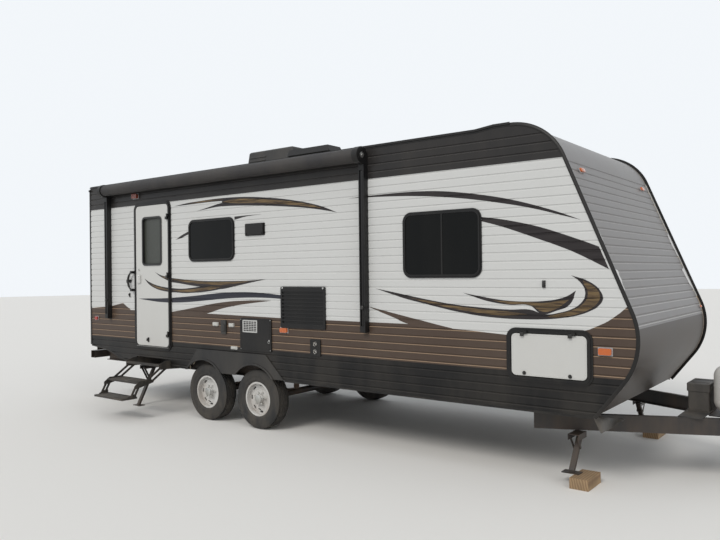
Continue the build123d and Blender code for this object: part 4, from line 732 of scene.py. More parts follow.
dark_film = film_paint("dark film", (0.015, 0.012, 0.013), (0.024, 0.02, 0.021))
bronze_film = film_paint("bronze film", (0.045, 0.029, 0.018), (0.185, 0.125, 0.058), 2.4)
navy_film = film_paint("navy film", (0.017, 0.018, 0.028), (0.026, 0.028, 0.04))
brown_film = film_paint("brown film", (0.066, 0.045, 0.034), (0.074, 0.051, 0.038))
low_lift, high_lift, lift_step = 0.0006, 0.0011, 0.00006


def lay_films(cuts, lift, face=skin):
    """All cuts of one film, laid and joined."""
    return merge([
        cut_film(stripes[name], lift + lift_step * count, face, *which)
        for count, (name, *which) in enumerate(cuts)
    ])


window_boxes = {
    "curb": ((-6.61, -5.78, 1.482, 1.995), (-3.42, -2.584, 1.269, 1.891)),
    "road": (
        (-5.44, -4.29, 1.205, 1.827), (-3.42, -2.584, 1.269, 1.891),
        (-6.9, -6.57, 1.74, 1.89), (-6.2, -5.31, 1.94, 2.01),
    ),
}


def trim_at_openings(film, side):
    """Film is cut off where a window stands on the wall, and where the other side has one."""
    for low_x, high_x, low_z, high_z in window_boxes[side]:
        for level in (low_x, high_x):
            edit(film)
            bpy.ops.mesh.bisect(plane_co=(level, 0.0, 0.0), plane_no=(1.0, 0.0, 0.0))

        def covered(face):
            return low_x < face.center.x < high_x and low_z < face.center.z < high_z

        pick_faces(film, covered)
        bpy.ops.mesh.delete(type="FACE")
        begin()
    return film


for name, paint, lift, cuts in (
    ("dark_stripes", dark_film, low_lift, (
        ("over_window_tail_high",), ("over_window_tail_low",), ("over_window",),
        ("window_left",), ("window_right",), ("two_sweeps",), ("two_sweeps_low",),
        ("front_upper",), ("front_dark",), ("front_sweep",), ("front_crescent",),
    )),
    ("navy_stripe", navy_film, low_lift, (("navy",),)),
    ("brown_waves", brown_film, low_lift, (("brown_wave",), ("brown_tail",))),
    ("bronze_cores", bronze_film, high_lift, (
        ("over_window", (0.22, 0.7), (0, 8)), ("over_window_tail_high", (0.3, 0.7), (1, 5)),
        ("two_sweeps", (0.12, 0.5), (0, 7)), ("two_sweeps_low", (0.3, 0.78), (0, 6)),
        ("front_sweep", (0.24, 0.7), (2, 9)), ("front_sweep", (0.16, 0.84), (9, 17)),
        ("front_crescent", (0.16, 0.82), (2, 8)),
    )),
):
    film = trim_at_openings(roll_down(lay_films(cuts, lift)), "curb")
    other = trim_at_openings(copy_of(film, mirror=True), "road")
    settle(film, f"{name}_curb", paint, angle=20.0)
    settle(other, f"{name}_road", paint, angle=20.0)

# The same stripes run on over the flat entry door and ride with it; on the road side, which
# has no door there, they lie on the wall.
door_edge = -6.9985
for name, paint, lift, cuts in (
    ("door_dark_stripes", dark_film, low_lift, (("door_high",), ("door_low",))),
    ("door_navy_stripe", navy_film, low_lift, (("door_navy",),)),
    ("door_bronze_cores", bronze_film, high_lift, (
        ("door_high", (0.3, 0.72), (1, 4)), ("door_low", (0.3, 0.72), (1, 5)),
    )),
):
    film = lay_films(cuts, lift, door_skin_face)
    for point in film.data.vertices:
        point.co.x = min(point.co.x, door_edge)
    settle(film, name, paint, "entry_door", angle=20.0)
    road_film = roll_down(lay_films(cuts, lift))
    for point in road_film.data.vertices:
        point.co.x += 0.0085 * max(0.0, (point.co.x + 7.5) / 0.534)
    settle(copy_of(road_film, mirror=True), f"{name}_road", paint, angle=20.0)
    discard(road_film)

# Nose: the front wall, one ribbed silver-grey sheet on the slant over a smooth dark glossy
# cap that wraps under the lower tip; the sheet is screwed under the corner mouldings. The ribs'
# upward-facing flanks below the brow get a painted highlight.
nose_paint = finish(
    "nose siding", (0.2, 0.2, 0.2), 0.4, film=0.25, grain=90.0, bump=0.0002,
    specular_ior_level=0.35,
)
tree = nose_paint.node_tree
height = axes_of(tree)["Z"]
cap_top, brow_low = 0.86, 2.22
wander = node(tree, "ShaderNodeTexNoise", Vector=place_of(tree), Scale=1.1, Detail=3.0)
shade = math_node(tree, "MULTIPLY", wander.outputs["Fac"], 0.35)
ribbed = mix_colours(tree, shade, (0.205, 0.198, 0.195), (0.135, 0.13, 0.143))
smooth = mix_colours(tree, shade, (0.04, 0.032, 0.028), (0.075, 0.06, 0.05))
below_brow = math_node(tree, "LESS_THAN", height, brow_low)
# Painted highlight: below the brow, the ribs' upward-facing flanks take a light grey for the light
# they catch.
nose_rib_highlight_painted = math_node(tree, "MULTIPLY", facing_up(tree, 0.62), below_brow)
nose_rib_highlight_painted = math_node(tree, "MULTIPLY", nose_rib_highlight_painted, 0.8)
ribbed = mix_colours(tree, nose_rib_highlight_painted, ribbed, (0.46, 0.45, 0.445))
repaint(tree, math_node(tree, "LESS_THAN", height, cap_top), ribbed, smooth)
dress(nose_paint, "front_wall")

# Nose slivers: on both slanted edges the old film has peeled to ragged white backing.
peeled = finish("peeled backing", (0.66, 0.655, 0.65), 0.6, film=0.15, grain=60.0)
slant_top, slant_foot = (-1.8443, 2.2654), (-1.316, 0.9864)


def on_slant(sideways, height, lift):
    """A place on the slanted nose, by its side position and height."""
    share = (slant_top[1] - height) / (slant_top[1] - slant_foot[1])
    forward = slant_top[0] + share * (slant_foot[0] - slant_top[0])
    return (forward + 0.924 * lift, sideways, height + 0.382 * lift)


def settle_both(piece, name, material, body="trailer"):
    """Settles a mirrored copy on the road side, then the piece itself on the curb side."""
    other = copy_of(piece, mirror=True)
    settle(other, f"{name}_road", material, body.format("road"))
    settle(piece, f"{name}_curb", material, body.format("curb"))


slivers = []
for outline in (
    ((-1.188, 1.712), (-1.16, 1.7), (-1.128, 1.682), (-1.133, 1.645), (-1.118, 1.61),
     (-1.124, 1.567), (-1.15, 1.52), (-1.146, 1.471), (-1.188, 1.462)),
    ((-1.188, 1.338), (-1.13, 1.332), (-1.074, 1.32), (-1.094, 1.282), (-1.088, 1.245),
     (-1.112, 1.21), (-1.108, 1.174), (-1.15, 1.14), (-1.171, 1.116), (-1.188, 1.104)),
):
    sliver = line_of([(*place_on, 0.0) for place_on in outline], closed=True)
    sliver.data.dimensions = "2D"
    sliver.data.fill_mode = "BOTH"
    sliver = as_mesh(sliver)
    for point in sliver.data.vertices:
        point.co = on_slant(point.co.x, point.co.y, 0.0008)
    if sliver.data.polygons[0].normal.x < 0:
        turn_over(sliver)
    slivers.append(sliver)
settle_both(merge(slivers), "peeled_slivers", peeled)

# Nose lamps: two amber clearance lamps high on the slant and a small yellow one low at the
# road side, each a ribbed lens snapped on a shallow grey base that is screwed to the sheet.
lens_base = finish("lamp base", (0.3, 0.3, 0.31), 0.5, film=0.3)


def emboss(tree, pattern):
    """A pattern's relief in place of a finish's fine grain."""
    give(tree, tree.nodes["relief"].inputs["Height"], pattern)


def lens_paint(name, colour):
    """Moulded lens: clear-coated coloured plastic over fine vertical prisms."""
    made = finish(name, colour, 0.18, film=0.12, grain=200.0, bump=0.002, coat_weight=0.6)
    tree = made.node_tree
    prisms = node(tree, "ShaderNodeTexWave", Vector=place_of(tree), Scale=55.0, Distortion=0.0)
    give(tree, tree.nodes["relief"].inputs["Strength"], 0.6)
    emboss(tree, prisms.outputs["Fac"])
    return made


def block(centre, size, rounding, segments=2, turn=origin):
    """A cube brought to a size and a rounding in millimetres, then turned in degrees."""
    begin()
    bpy.ops.mesh.primitive_cube_add(size=1.0, location=origin)
    made = bpy.context.object
    made.scale = [part / mm for part in size]
    bpy.ops.object.transform_apply()
    edit(made)
    bpy.ops.mesh.bevel(offset=rounding / mm, segments=segments, affect="EDGES")
    take(made)
    made.rotation_euler = [math.radians(part) for part in turn]
    made.location = centre
    bpy.ops.object.transform_apply()
    return made


amber_lens = lens_paint("amber lens", (0.52, 0.105, 0.008))
slant_turn = 22.44
tilt = (0.0, -slant_turn, 0.0)
for name, sideways, height, size in (
    ("nose_lamp_curb", -0.901, 2.171, (22, 90, 36)),
    ("nose_lamp_road", 0.901, 2.171, (22, 90, 36)), ("nose_lamp_low", 1.12, 0.935, (16, 40, 24)),
):
    base_size = (8, size[1] + 12, size[2] + 12)
    base = block(on_slant(sideways, height, 0.003), base_size, 3, turn=tilt)
    lens_place = on_slant(sideways, height, (size[0] / 2 + 2) / mm)
    lens = block(lens_place, size, 6, 3, turn=tilt)
    settle(base, f"{name}_base", lens_base)
    settle(lens, f"{name}_lens", amber_lens)

# Corner mouldings: extruded aluminium angles with a black vinyl insert, screwed over the
# sheet edges down the nose and the rear corners, and bedded in putty.
moulding_paint = finish(
    "corner moulding", (0.009, 0.0088, 0.009), 0.35, film=0.1, patch=5.0,
    specular_ior_level=0.3,
)
wall_out = 1.219
corner_section = (
    (-26, 0.2), (-26, 2.2), (-13, 3), (-8, 5.2), (1, 5.5), (4.8, 4), (5.5, -2), (3.6, -9),
    (2.8, -29), (0.4, -29), (0.4, 0.2),
)


def swept(path, face, section, closed=False):
    """A moulding of one section along a flat path of forward and height positions; the section
    gives millimetres left of the path and out from a face, towards the curb."""
    rail = line_of([(forward, height, 0.0) for forward, height in path], closed)
    rail.data.dimensions = "2D"
    rail.data.fill_mode = "NONE"
    shape = line_of([(left / mm, face + out / mm, 0.0) for left, out in section], closed=True)
    shape.data.dimensions = "2D"
    rail.data.bevel_mode = "OBJECT"
    rail.data.bevel_object = shape
    rail.data.use_fill_caps = not closed
    made = as_mesh(rail)
    made.rotation_euler.x = math.radians(90.0)
    bpy.ops.object.transform_apply()
    weld(made)
    discard(shape)
    return made


def arc(centre, radius, first, last, steps):
    """Points on an arc in the forward and height plane, by its angles in degrees."""
    turns = [math.radians(first + (last - first) * count / steps) for count in range(steps + 1)]
    return [(centre[0] + radius * math.cos(t), centre[1] + radius * math.sin(t)) for t in turns]


nose_edge = arc((-2.3065, 2.075), 0.5, 90.0, slant_turn, 18)
nose_edge += arc((-1.8244, 0.777), 0.55, slant_turn, -37.9, 22) + [(-1.613, 0.152)]
rear_edge = [(body_rear, 0.345), (body_rear, 2.553)]
for name, path in (("nose_moulding", nose_edge), ("rear_moulding", rear_edge)):
    settle_both(swept(path, wall_out, corner_section), name, moulding_paint)

# Roof edge: the awning rail and rain gutter, one black extrusion screwed along the top of
# each side wall, with a short spout at the rear end.
gutter_section = (
    (2.2, -30), (2.2, 3.5), (-16, 3.5), (-17.5, 11), (-11, 11.8), (-11, 13.5), (-20, 13),
    (-22.5, 3), (-34, 2), (-34, 0.2), (0.4, 0.2), (0.4, -30),
)
roof_edge = [(-8.788, 2.555), (-2.64, 2.555), (-2.46, 2.575), (-2.3065, 2.575)]
spout = block((-8.786, -wall_out - 0.016, 2.53), (30, 22, 26), 6, turn=(18.0, 0.0, 0.0))
gutter = merge([swept(roof_edge, wall_out, gutter_section), spout])
settle_both(gutter, "gutter", moulding_paint)

# Skirt rail: a thin black J-shaped moulding that closes the lower edge of the side sheets,
# stopped at the wheel openings and the step well.
skirt_section = (
    (2.5, -20), (2.5, 3), (-14, 3), (-15.5, 1.2), (-15.5, 0.2), (0.4, 0.2), (0.4, -20),
)
skirt_rail = merge([
    swept([(-1.618, 0.15), (-5.006, 0.15)], wall_out, skirt_section),
    swept(
        [(-7.735, 0.15), (-7.86, 0.15), (-8.455, 0.31), (-8.788, 0.34)], wall_out, skirt_section
    ),
])
settle_both(skirt_rail, "skirt_rail", moulding_paint)

# Fender skirts: vacuum-formed black plastic panels over both axles, screwed to the walls.
fender_plastic = finish("fender plastic", (0.01, 0.01, 0.0105), 0.55, film=0.16, grain=420.0)
dress(fender_plastic, "fender_skirts")

# Windows: black aluminium frames clamped to the wall, dark tinted safety glass, and inside
# each frame a rubber gasket; two small weep caps sit in every bottom flange.
black_trim = finish(
    "black trim", (0.008, 0.008, 0.0085), 0.38, film=0.08, patch=6.0, specular_ior_level=0.28
)
dress(black_trim, "window_frames", "door_frames")
tinted = finish(
    "tinted glass", (0.003, 0.0035, 0.0035), 0.05, film=0.01, film_height=4.0, bump=0.0,
    specular_ior_level=0.14,
)
dress(tinted, "window_glass")
rubber = finish("gasket rubber", (0.01, 0.01, 0.01), 0.6, film=0.15)


def rounded_path(low_x, high_x, low_z, high_z, radius, steps=6):
    """A rounded rectangle in the forward and height plane, clockwise from outside."""
    path = []
    for centre, first in (
        ((high_x - radius, high_z - radius), 90.0), ((high_x - radius, low_z + radius), 0.0),
        ((low_x + radius, low_z + radius), -90.0), ((low_x + radius, high_z - radius), -180.0),
    ):
        path += arc(centre, radius, first, first - 90.0, steps)
    return path


glass_out = 1.228
gasket_section = ((1, 0), (1, 3.5), (-4, 4.2), (-8.5, 1.2), (-9, 0))
weep_cap = block((0.0, -1.23, 0.0), (34, 5, 7), 2)
for name, on_road, low_x, high_x, low_z, high_z in (
    ("one", False, -6.58, -5.81, 1.512, 1.965), ("two", False, -3.39, -2.614, 1.299, 1.861),
    ("three", True, -3.39, -2.614, 1.299, 1.861), ("four", True, -5.41, -4.32, 1.235, 1.797),
    ("five", True, -7.98, -7.62, 1.565, 1.885),
):
    edge = rounded_path(low_x, high_x, low_z, high_z, 0.062)
    gasket = swept(edge, glass_out, gasket_section, closed=True)
    caps = merge([
        copy_of(weep_cap, (low_x + share * (high_x - low_x), 0.0, low_z - 0.019))
        for share in (0.2, 0.8)
    ])
    for made, part, paint in ((gasket, "gasket", rubber), (caps, "weep_caps", black_trim)):
        each = copy_of(made, mirror=on_road)
        settle(each, f"window_{name}_{part}", paint)
        discard(made)
discard(weep_cap)

# Entry door: a laminated door with a flat white gel-coated skin in an aluminium edge, with an
# obscured glass in a clamped ring, a paddle latch with its lock, and a hook that holds it open.
door_white = (0.53, 0.53, 0.515)
door_skin = finish("door skin", door_white, 0.3, film=0.2, grain=60.0, bump=0.0003)
tree = door_skin.node_tree
forward, sideways, height = axes_of(tree)
above_latch = math_node(tree, "GREATER_THAN", height, 1.4)
past_latch = math_node(tree, "GREATER_THAN", forward, -7.03)
proud = math_node(tree, "GREATER_THAN", math_node(tree, "ABSOLUTE", sideways), 1.236)
proud = math_node(tree, "MULTIPLY", proud, math_node(tree, "MAXIMUM", above_latch, past_latch))
in_hole = math_node(
    tree, "MULTIPLY", within(tree, forward, -7.3365, 0.1845), within(tree, height, 1.765, 0.296)
)
repaint(tree, math_node(tree, "MAXIMUM", proud, in_hole), door_white, (0.01, 0.01, 0.01))
dress(door_skin, "entry_door", "baggage_door_curb", "baggage_door_road")
obscured = finish(
    "obscured glass", (0.036, 0.04, 0.033), 0.3, film=0.05, grain=420.0, bump=0.004
)
tree = obscured.node_tree
pebble = node(tree, "ShaderNodeTexVoronoi", Vector=place_of(tree), Scale=170.0)
emboss(tree, pebble.outputs["Distance"])
dress(obscured, "entry_door_glass")
glass_ring = swept(rounded_path(-7.52, -7.153, 1.47, 2.06, 0.036), wall_out, (
    (2.5, 25.8), (2.5, 27.8), (-3.5, 28.2), (-8, 21), (-8.8, 6), (-8.8, 0.2), (-1, 0.2),
    (-1, 25.8),
), closed=True)
settle(glass_ring, "door_glass_ring", black_trim, "entry_door")
latch_plastic = finish("latch plastic", (0.6, 0.6, 0.585), 0.4, film=0.2, grain=300.0)
latch_plate = block((-7.618, -1.2545, 1.273), (72, 4, 106), 1.8)
pick_faces(latch_plate, lambda face: face.normal.y < -0.9 and face.area > 0.002)
bpy.ops.mesh.inset(thickness=0.012, depth=-0.0022)
paddle = block((-7.622, -1.257, 1.262), (44, 6, 62), 2.5, 3, turn=(4.0, 0.0, 0.0))
latch = merge([latch_plate, paddle])
settle(latch, "door_latch_paddle", latch_plastic, "entry_door")
lock_profile = ((0, 0), (0, 10.5), (3, 10.5), (4.2, 9.2), (4.2, 6), (3.4, 5.5), (3.4, 0))
deadbolt_profile = [(along * 2.2, out * 1.5) for along, out in lock_profile]
locks = merge([
    turned((-7.606, -1.256, 1.312), to_curb, lock_profile, steps=24),
    turned((-7.618, -1.235, 1.395), to_curb, deadbolt_profile, steps=24),
])
settle(locks, "door_locks", plated, "entry_door")
key_slot = block((-7.618, -1.2445, 1.395), (2.2, 3, 10), 0.4)
settle(key_slot, "door_key_slot", rubber, "entry_door")
hold_hook = merge([
    block((-7.43, -1.2375, 0.478), (34, 5, 60), 1.8),
    block((-7.43, -1.25, 0.492), (16, 26, 12), 3.5),
    block((-7.43, -1.26, 0.48), (18, 8, 34), 3),
    turned((-7.43, -1.24, 0.46), to_curb, ((0, 0), (0, 5), (3, 4), (3, 0)), steps=16),
])
settle(hold_hook, "door_hold_hook", black_trim, "entry_door")
hinge_pin = turned(origin, upwards, (
    (-39, 0), (-39, 5.8), (-36.5, 7.8), (-35.5, 5.8), (35.5, 5.8), (36.5, 7.8), (39, 5.8),
    (39, 0),
), steps=20)
hinge_screw = turned(origin, to_curb, (
    (0, 0), (0, 4.8), (1.2, 4.4), (2.2, 2.6), (2.2, 1.2), (1.2, 0),
), steps=12)
door_hinges = []
for height in (0.565, 1.317, 2.065):
    door_hinges.append(copy_of(hinge_pin, (-7.004, -1.257, height)))
    for forward in (-6.986, -6.974):
        for rise in (-0.026, -0.009):
            door_hinges.append(copy_of(hinge_screw, (forward, -1.2408, height + rise)))
settle(merge(door_hinges), "door_hinge_pins", black_trim, angle=25.0)
sill_plate = block((-7.342, -1.228, 0.3925), (670, 30, 4), 1.2)
settle(sill_plate, "door_sill_plate", plated)

# Baggage doors: white panels in black frames, hinged along the top, each closed by two black
# thumb latches and held open by a small magnet catch on the wall above.
fitting_black = finish("fitting black", (0.012, 0.012, 0.012), 0.42, film=0.2, grain=350.0)
latch_set = merge([
    turned(origin, to_curb, ((0, 0), (0, 16.5), (2, 16.5), (3.4, 15), (3.4, 0)), steps=28),
    block((0.0, -0.0065, 0.0), (7, 10, 24), 2.5, 3),
])
bag_left, bag_width, bag_low, bag_high = -2.309, 0.65, 0.439, 0.795
for end, share in (("rear", 0.18), ("front", 0.79)):
    latch = copy_of(latch_set, (bag_left + share * bag_width, -1.2385, bag_low + 0.024))
    for side, made in (("curb", latch), ("road", copy_of(latch, mirror=True))):
        name, door = f"baggage_latch_{side}_{end}", f"baggage_door_{side}"
        settle(made, name, fitting_black, door)
discard(latch_set)
lip_in = 0.012
panel_edge = rounded_path(
    bag_left + lip_in, bag_left + bag_width - lip_in, bag_low + lip_in, bag_high - lip_in, 0.03
)
panel_lip = swept(
    panel_edge, wall_out, ((3, 11.9), (2, 13.2), (-2, 13.2), (-3, 11.9)), closed=True
)
settle_both(panel_lip, "baggage_panel_lip", door_skin, "baggage_door_{}")
bag_pins = []
for share in (0.18, 0.82):
    pin = copy_of(hinge_pin)
    pin.rotation_euler.y = math.radians(90.0)
    pin.scale.z = 0.86
    pin.location = (bag_left + share * bag_width, -1.246, 0.801)
    bag_pins.append(pin)
bag_pins = merge(bag_pins)
bpy.ops.object.transform_apply()
settle_both(bag_pins, "baggage_hinge_pins", black_trim)
catch = merge([
    block((-2.015, -1.2225, 1.214), (30, 6, 62), 2.2),
    block((-2.015, -1.232, 1.214), (22, 16, 44), 5, 3),
])
settle_both(catch, "baggage_catch", fitting_black)

# Grab handle: a black tube loop beside the door with a foam grip on its middle, held folded
# by a rubber catch, and a small catch for the open door below it.
handle_paint = finish("handle black", (0.009, 0.009, 0.009), 0.34, film=0.1)
dress(handle_paint, "grab_handle")
grip_foam = finish("grip foam", (0.009, 0.009, 0.009), 0.85, film=0.2, grain=700.0, bump=0.0012)


def round_section(radius, sides):
    """The section of a round bar."""
    turns = [math.tau * count / sides for count in range(sides)]
    return [(radius * math.cos(turn), radius * math.sin(turn)) for turn in turns]


for name, first, last in (("upper", 174.0, 142.0), ("lower", 218.0, 186.0)):
    bend = arc((-7.7009, 1.245), 0.1311, first, last, 12)
    grip = swept(bend, 1.265, round_section(13.8, 14))
    settle(grip, f"handle_grip_{name}", grip_foam)
door_catch = merge([
    block((-7.858, -1.222, 1.057), (26, 5, 58), 2),
    block((-7.858, -1.232, 1.062), (14, 18, 30), 4, 3, turn=(12.0, 0.0, 0.0)),
])
settle(door_catch, "door_catch", fitting_black)

# Range hood vent: a black plastic hood with a hinged flap held by two turn clips.
vent_plastic = finish(
    "vent plastic", (0.008, 0.008, 0.0085), 0.48, film=0.08, grain=380.0,
    specular_ior_level=0.3,
)
dress(vent_plastic, "wall_vents", "water_heater_door", "roof_vents")
for name, forward in (("rear", -5.56), ("front", -5.318)):
    clip = block((forward, -1.244, 1.782), (12, 8, 20), 2.5)
    settle(clip, f"hood_clip_{name}", vent_plastic)

# Fridge vent: a louvred plastic door between two quarter-turn screws, behind whose slots
# stands a fine insect screen.
turn_screw = turned(origin, to_curb, (
    (0, 0), (0, 10), (2.2, 10), (3.2, 8.8), (3.2, 5.8), (1.8, 5), (1.8, 0),
), steps=20)
for name, forward in (("rear", -5.01), ("front", -4.426)):
    screw = copy_of(turn_screw, (forward, -1.235, 1.1655))
    settle(screw, f"fridge_vent_screw_{name}", plated)

# Furnace vent: a brown-black plate with two round ports, each with a short steel flue tube
# that ends in a rolled rim and a spark baffle.
port = (-4.542, -1.2255, 0.49725)
flue = merge([
    turned(port, to_curb, (
        (0, 21.5), (11, 21.5), (12.2, 22.5), (13.4, 21.5), (12.2, 20.2), (10, 20), (0.4, 20),
        (0.4, 21.5),
    )),
    block((port[0], -1.229, port[2]), (40, 2, 8), 0.6, turn=(0.0, 35.0, 0.0)),
])
flue_steel = finish("flue steel", (0.62, 0.6, 0.57), 0.4, film=0.3, patch=40.0, metallic=0.7)
settle(copy_of(flue, (0.0, 0.0, 0.0805)), "furnace_flue_upper", flue_steel)
settle(flue, "furnace_flue_lower", flue_steel)

# Water heater door: a black steel access door; the burner's silver grille of pressed bars
# fills its upper corner, and a wire ring latch holds it shut.
grille_paint = finish(
    "grille silver", (0.52, 0.52, 0.51), 0.4, film=0.3, patch=14.0, metallic=0.35
)
grille_bars = []
for count in range(7):
    bar_place = (-5.5245, -1.2345, 0.668 + 0.0195 * count)
    grille_bars.append(block(bar_place, (224, 6, 7.5), 2.2))
for count in range(6):
    bar_place = (-5.63 + 0.0422 * count, -1.2352, 0.7265)
    grille_bars.append(block(bar_place, (6, 5, 128), 1.6))
for rise in (0.66, 0.7935):
    grille_bars.append(block((-5.5245, -1.235, rise), (234, 7, 9), 2.2))
for forward in (-5.639, -5.4105):
    grille_bars.append(block((forward, -1.235, 0.7268), (9, 7, 138), 2.2))
settle(merge(grille_bars), "heater_grille", grille_paint)
ring_path = arc((-5.222, 0.56), 0.015, 0.0, 360.0, 24)[:-1]
latch_parts = [
    swept(ring_path, 1.2375, round_section(1.6, 8), closed=True),
    copy_of(turn_screw, (-5.222, -1.2328, 0.576)),
]
for forward in (-5.676, -5.204):
    for height in (0.466, 0.802):
        latch_parts.append(copy_of(hinge_screw, (forward, -1.233, height)))
settle(merge(latch_parts), "heater_latch", plated)
discard(hinge_pin, hinge_screw, turn_screw)
seam_path = rounded_path(-5.668, -5.212, 0.474, 0.796, 0.012)
seam_section = ((2, 14), (1.5, 15.2), (-1.5, 15.2), (-2, 14))
heater_seam = swept(seam_path, wall_out, seam_section, closed=True)
settle(heater_seam, "heater_door_rib", vent_plastic)

# Service inlets: two pale weatherproof sockets and a dark power inlet between them, and a
# white low-point fitting by the heater; each plastic cover has a hinge and a finger lip.
inlet_paint = finish("inlet plastic", (0.5, 0.5, 0.49), 0.45, film=0.3, grain=350.0)
tree = inlet_paint.node_tree
dark_one = within(tree, axes_of(tree)["X"], -5.973, 0.05)
repaint(tree, dark_one, (0.52, 0.52, 0.5), (0.016, 0.016, 0.016))
dress(inlet_paint, "service_inlets")
pale_plastic = finish("pale plastic", (0.5, 0.5, 0.48), 0.45, film=0.3, grain=350.0)
for name, forward, face, height, width, tall, paint in (
    ("rear_socket", -6.1145, -1.241, 0.731, 70, 30, pale_plastic),
    ("front_socket", -5.838, -1.241, 0.729, 58, 30, pale_plastic),
    ("power_inlet", -5.973, -1.239, 0.69, 62, 86, fitting_black),
    ("low_fitting", -5.795, -1.237, 0.4655, 78, 20, pale_plastic),
):
    half = tall / 2 / mm
    lid = merge([
        block((forward, face - 0.003, height), (width, 7, tall), 2.5, 3),
        block((forward, face - 0.008, height - half + 0.003), (width * 0.35, 6, 4), 1.4),
        block((forward, face - 0.004, height + half), (width * 0.6, 6, 5), 2.2),
    ])
    settle(lid, f"{name}_lid", paint)

# Lamps: moulded lenses on the walls, red at the rear, amber ahead and over the door; every
# one is clear-coated over fine prisms, and the tail lamps carry a clear reversing window.
lamp_paint = lens_paint("wall lenses", (0.52, 0.105, 0.008))
tree = lamp_paint.node_tree
forward, sideways, height = axes_of(tree)
on_tail = math_node(tree, "LESS_THAN", forward, -8.788)
reversing = math_node(tree, "MULTIPLY", on_tail, math_node(tree, "LESS_THAN", height, 0.596))
over_door = math_node(tree, "GREATER_THAN", height, 2.3)
at_rear = math_node(tree, "LESS_THAN", forward, -8.6)
lens_colour = mix_colours(tree, over_door, (0.52, 0.105, 0.008), (0.22, 0.03, 0.008))
lens_colour = mix_colours(tree, at_rear, lens_colour, (0.34, 0.01, 0.008))
repaint(tree, reversing, lens_colour, (0.6, 0.59, 0.56))
dress(lamp_paint, "lamps")
side_base = block((0.0, -1.2215, 0.0), (1000, 5, 1000), 2.2)
for name, forward, height, width, tall in (
    ("front_marker", -1.5145, 0.6815, 0.117, 0.069),
    ("middle_marker", -4.9975, 0.704, 0.121, 0.066),
    ("rear_marker", -8.648, 0.7225, 0.076, 0.061), ("porch_lamp", -7.7, 2.375, 0.126, 0.076),
):
    base = copy_of(side_base, (forward, 0.0, height))
    edit(base)
    bpy.ops.transform.resize(value=(width, 1.0, tall), center_override=(forward, 0.0, height))
    if name == "porch_lamp":
        settle(base, f"{name}_base_curb", lens_base)
    else:
        settle_both(base, f"{name}_base", lens_base)
discard(side_base)
tail_base = block((-8.7925, -0.9, 0.63), (6, 226, 166), 2.6)
bolt_profile = ((0, 0), (0, 6), (2, 5), (2, 0))
tail_bolts = merge([
    turned((-8.8255, sideways, 0.63), (-1.0, 0.0, 0.0), bolt_profile, steps=12)
    for sideways in (-0.975, -0.825)
])
settle_both(tail_base, "tail_base", lens_base)
settle_both(tail_bolts, "tail_bolts", plated)

# Awning: a black vinyl sheet, 4.37 m by 2.50 m, wound nearly six times on a steel tube
# between two cast heads; its inner edge runs back to the rail on the roof edge.
arm_paint = finish(
    "awning arm", (0.008, 0.008, 0.0085), 0.36, film=0.08, patch=6.0, specular_ior_level=0.3
)
dress(arm_paint, "awning_arms")
fabric_paint = finish(
    "awning vinyl", (0.017, 0.0155, 0.0165), 0.62, film=0.12, patch=2.5, grain=900.0,
    bump=0.0009, film_height=6.0,
)
tree = fabric_paint.node_tree
weave = node(
    tree, "ShaderNodeTexWave", Vector=place_of(tree), Scale=160.0, Distortion=1.0,
    bands_direction="X",
)
emboss(tree, weave.outputs["Fac"])
cloth_length, cloth_middle = 4.37, -6.0895
roll_y, roll_z, roll_turns = -1.314, 2.485, 5.7
rail_y, flat_share = -1.225, 0.03
begin()
bpy.ops.mesh.primitive_grid_add(x_subdivisions=28, y_subdivisions=182, size=1.0)
fabric = bpy.context.object
for point in fabric.data.vertices:
    run = point.co.y + 0.5
    forward = cloth_middle + cloth_length * point.co.x
    if run < flat_share:
        share = run / flat_share
        sag = 0.002 * math.sin(math.pi * share)
        point.co = (forward, rail_y + share * (roll_y - rail_y), 2.5535 + 0.0062 * share - sag)
    else:
        wound = (run - flat_share) / (1.0 - flat_share)
        turn = math.radians(90.0) + math.tau * roll_turns * wound
        ripple = 0.0006 * math.sin(5.0 * forward + 3.0 * turn) * (1.0 - wound)
        radius = 0.0747 - 0.0152 * wound + ripple
        point.co = (forward, roll_y + radius * math.cos(turn), roll_z + radius * math.sin(turn))
edit(fabric)
bpy.ops.mesh.normals_make_consistent(inside=False)
settle(fabric, "awning_fabric", fabric_paint, angle=60.0)
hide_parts("awning_roller")

# Awning tube: the bare steel roller inside the cloth, with a cast disc and a plated plug at
# each end; each arm has a sliding rail, a locking knob and a foot bolted to the wall.
tube = turned((-8.2765, roll_y, roll_z), (1.0, 0.0, 0.0), (
    (0, 0), (0, 79), (6, 79), (6, 58.5), (4368, 58.5), (4368, 79), (4374, 79), (4374, 0),
), steps=48)
settle(tube, "awning_tube", arm_paint)
plug_profile = ((0, 0), (0, 30), (4, 30), (6, 22), (6, 12), (9, 11), (9, 0))
head_plugs = merge([
    turned((forward, roll_y, roll_z), (way, 0.0, 0.0), plug_profile, steps=24)
    for forward, way in ((-3.835, 1.0), (-8.34, -1.0))
])
settle(head_plugs, "awning_head_plugs", plated)
arm_rail = block((0.0, -1.2755, 1.56), (28, 16, 1560), 3)
arm_knob = turned((0.0, -1.283, 0.98), to_curb, (
    (0, 0), (0, 8), (6, 8), (7, 19), (16, 20), (19, 16), (19, 0),
), steps=20)
arm_foot = block((0.0, -1.242, 0.748), (50, 40, 40), 5)
for name, forward in (("rear", -8.3095), ("front", -3.8675)):
    for made, part, paint in (
        (arm_rail, "rail", arm_paint), (arm_knob, "knob", fitting_black),
        (arm_foot, "foot", arm_paint),
    ):
        each = copy_of(made, (forward, 0.0, 0.0))
        settle(each, f"awning_{part}_{name}", paint)
discard(arm_rail, arm_knob, arm_foot)

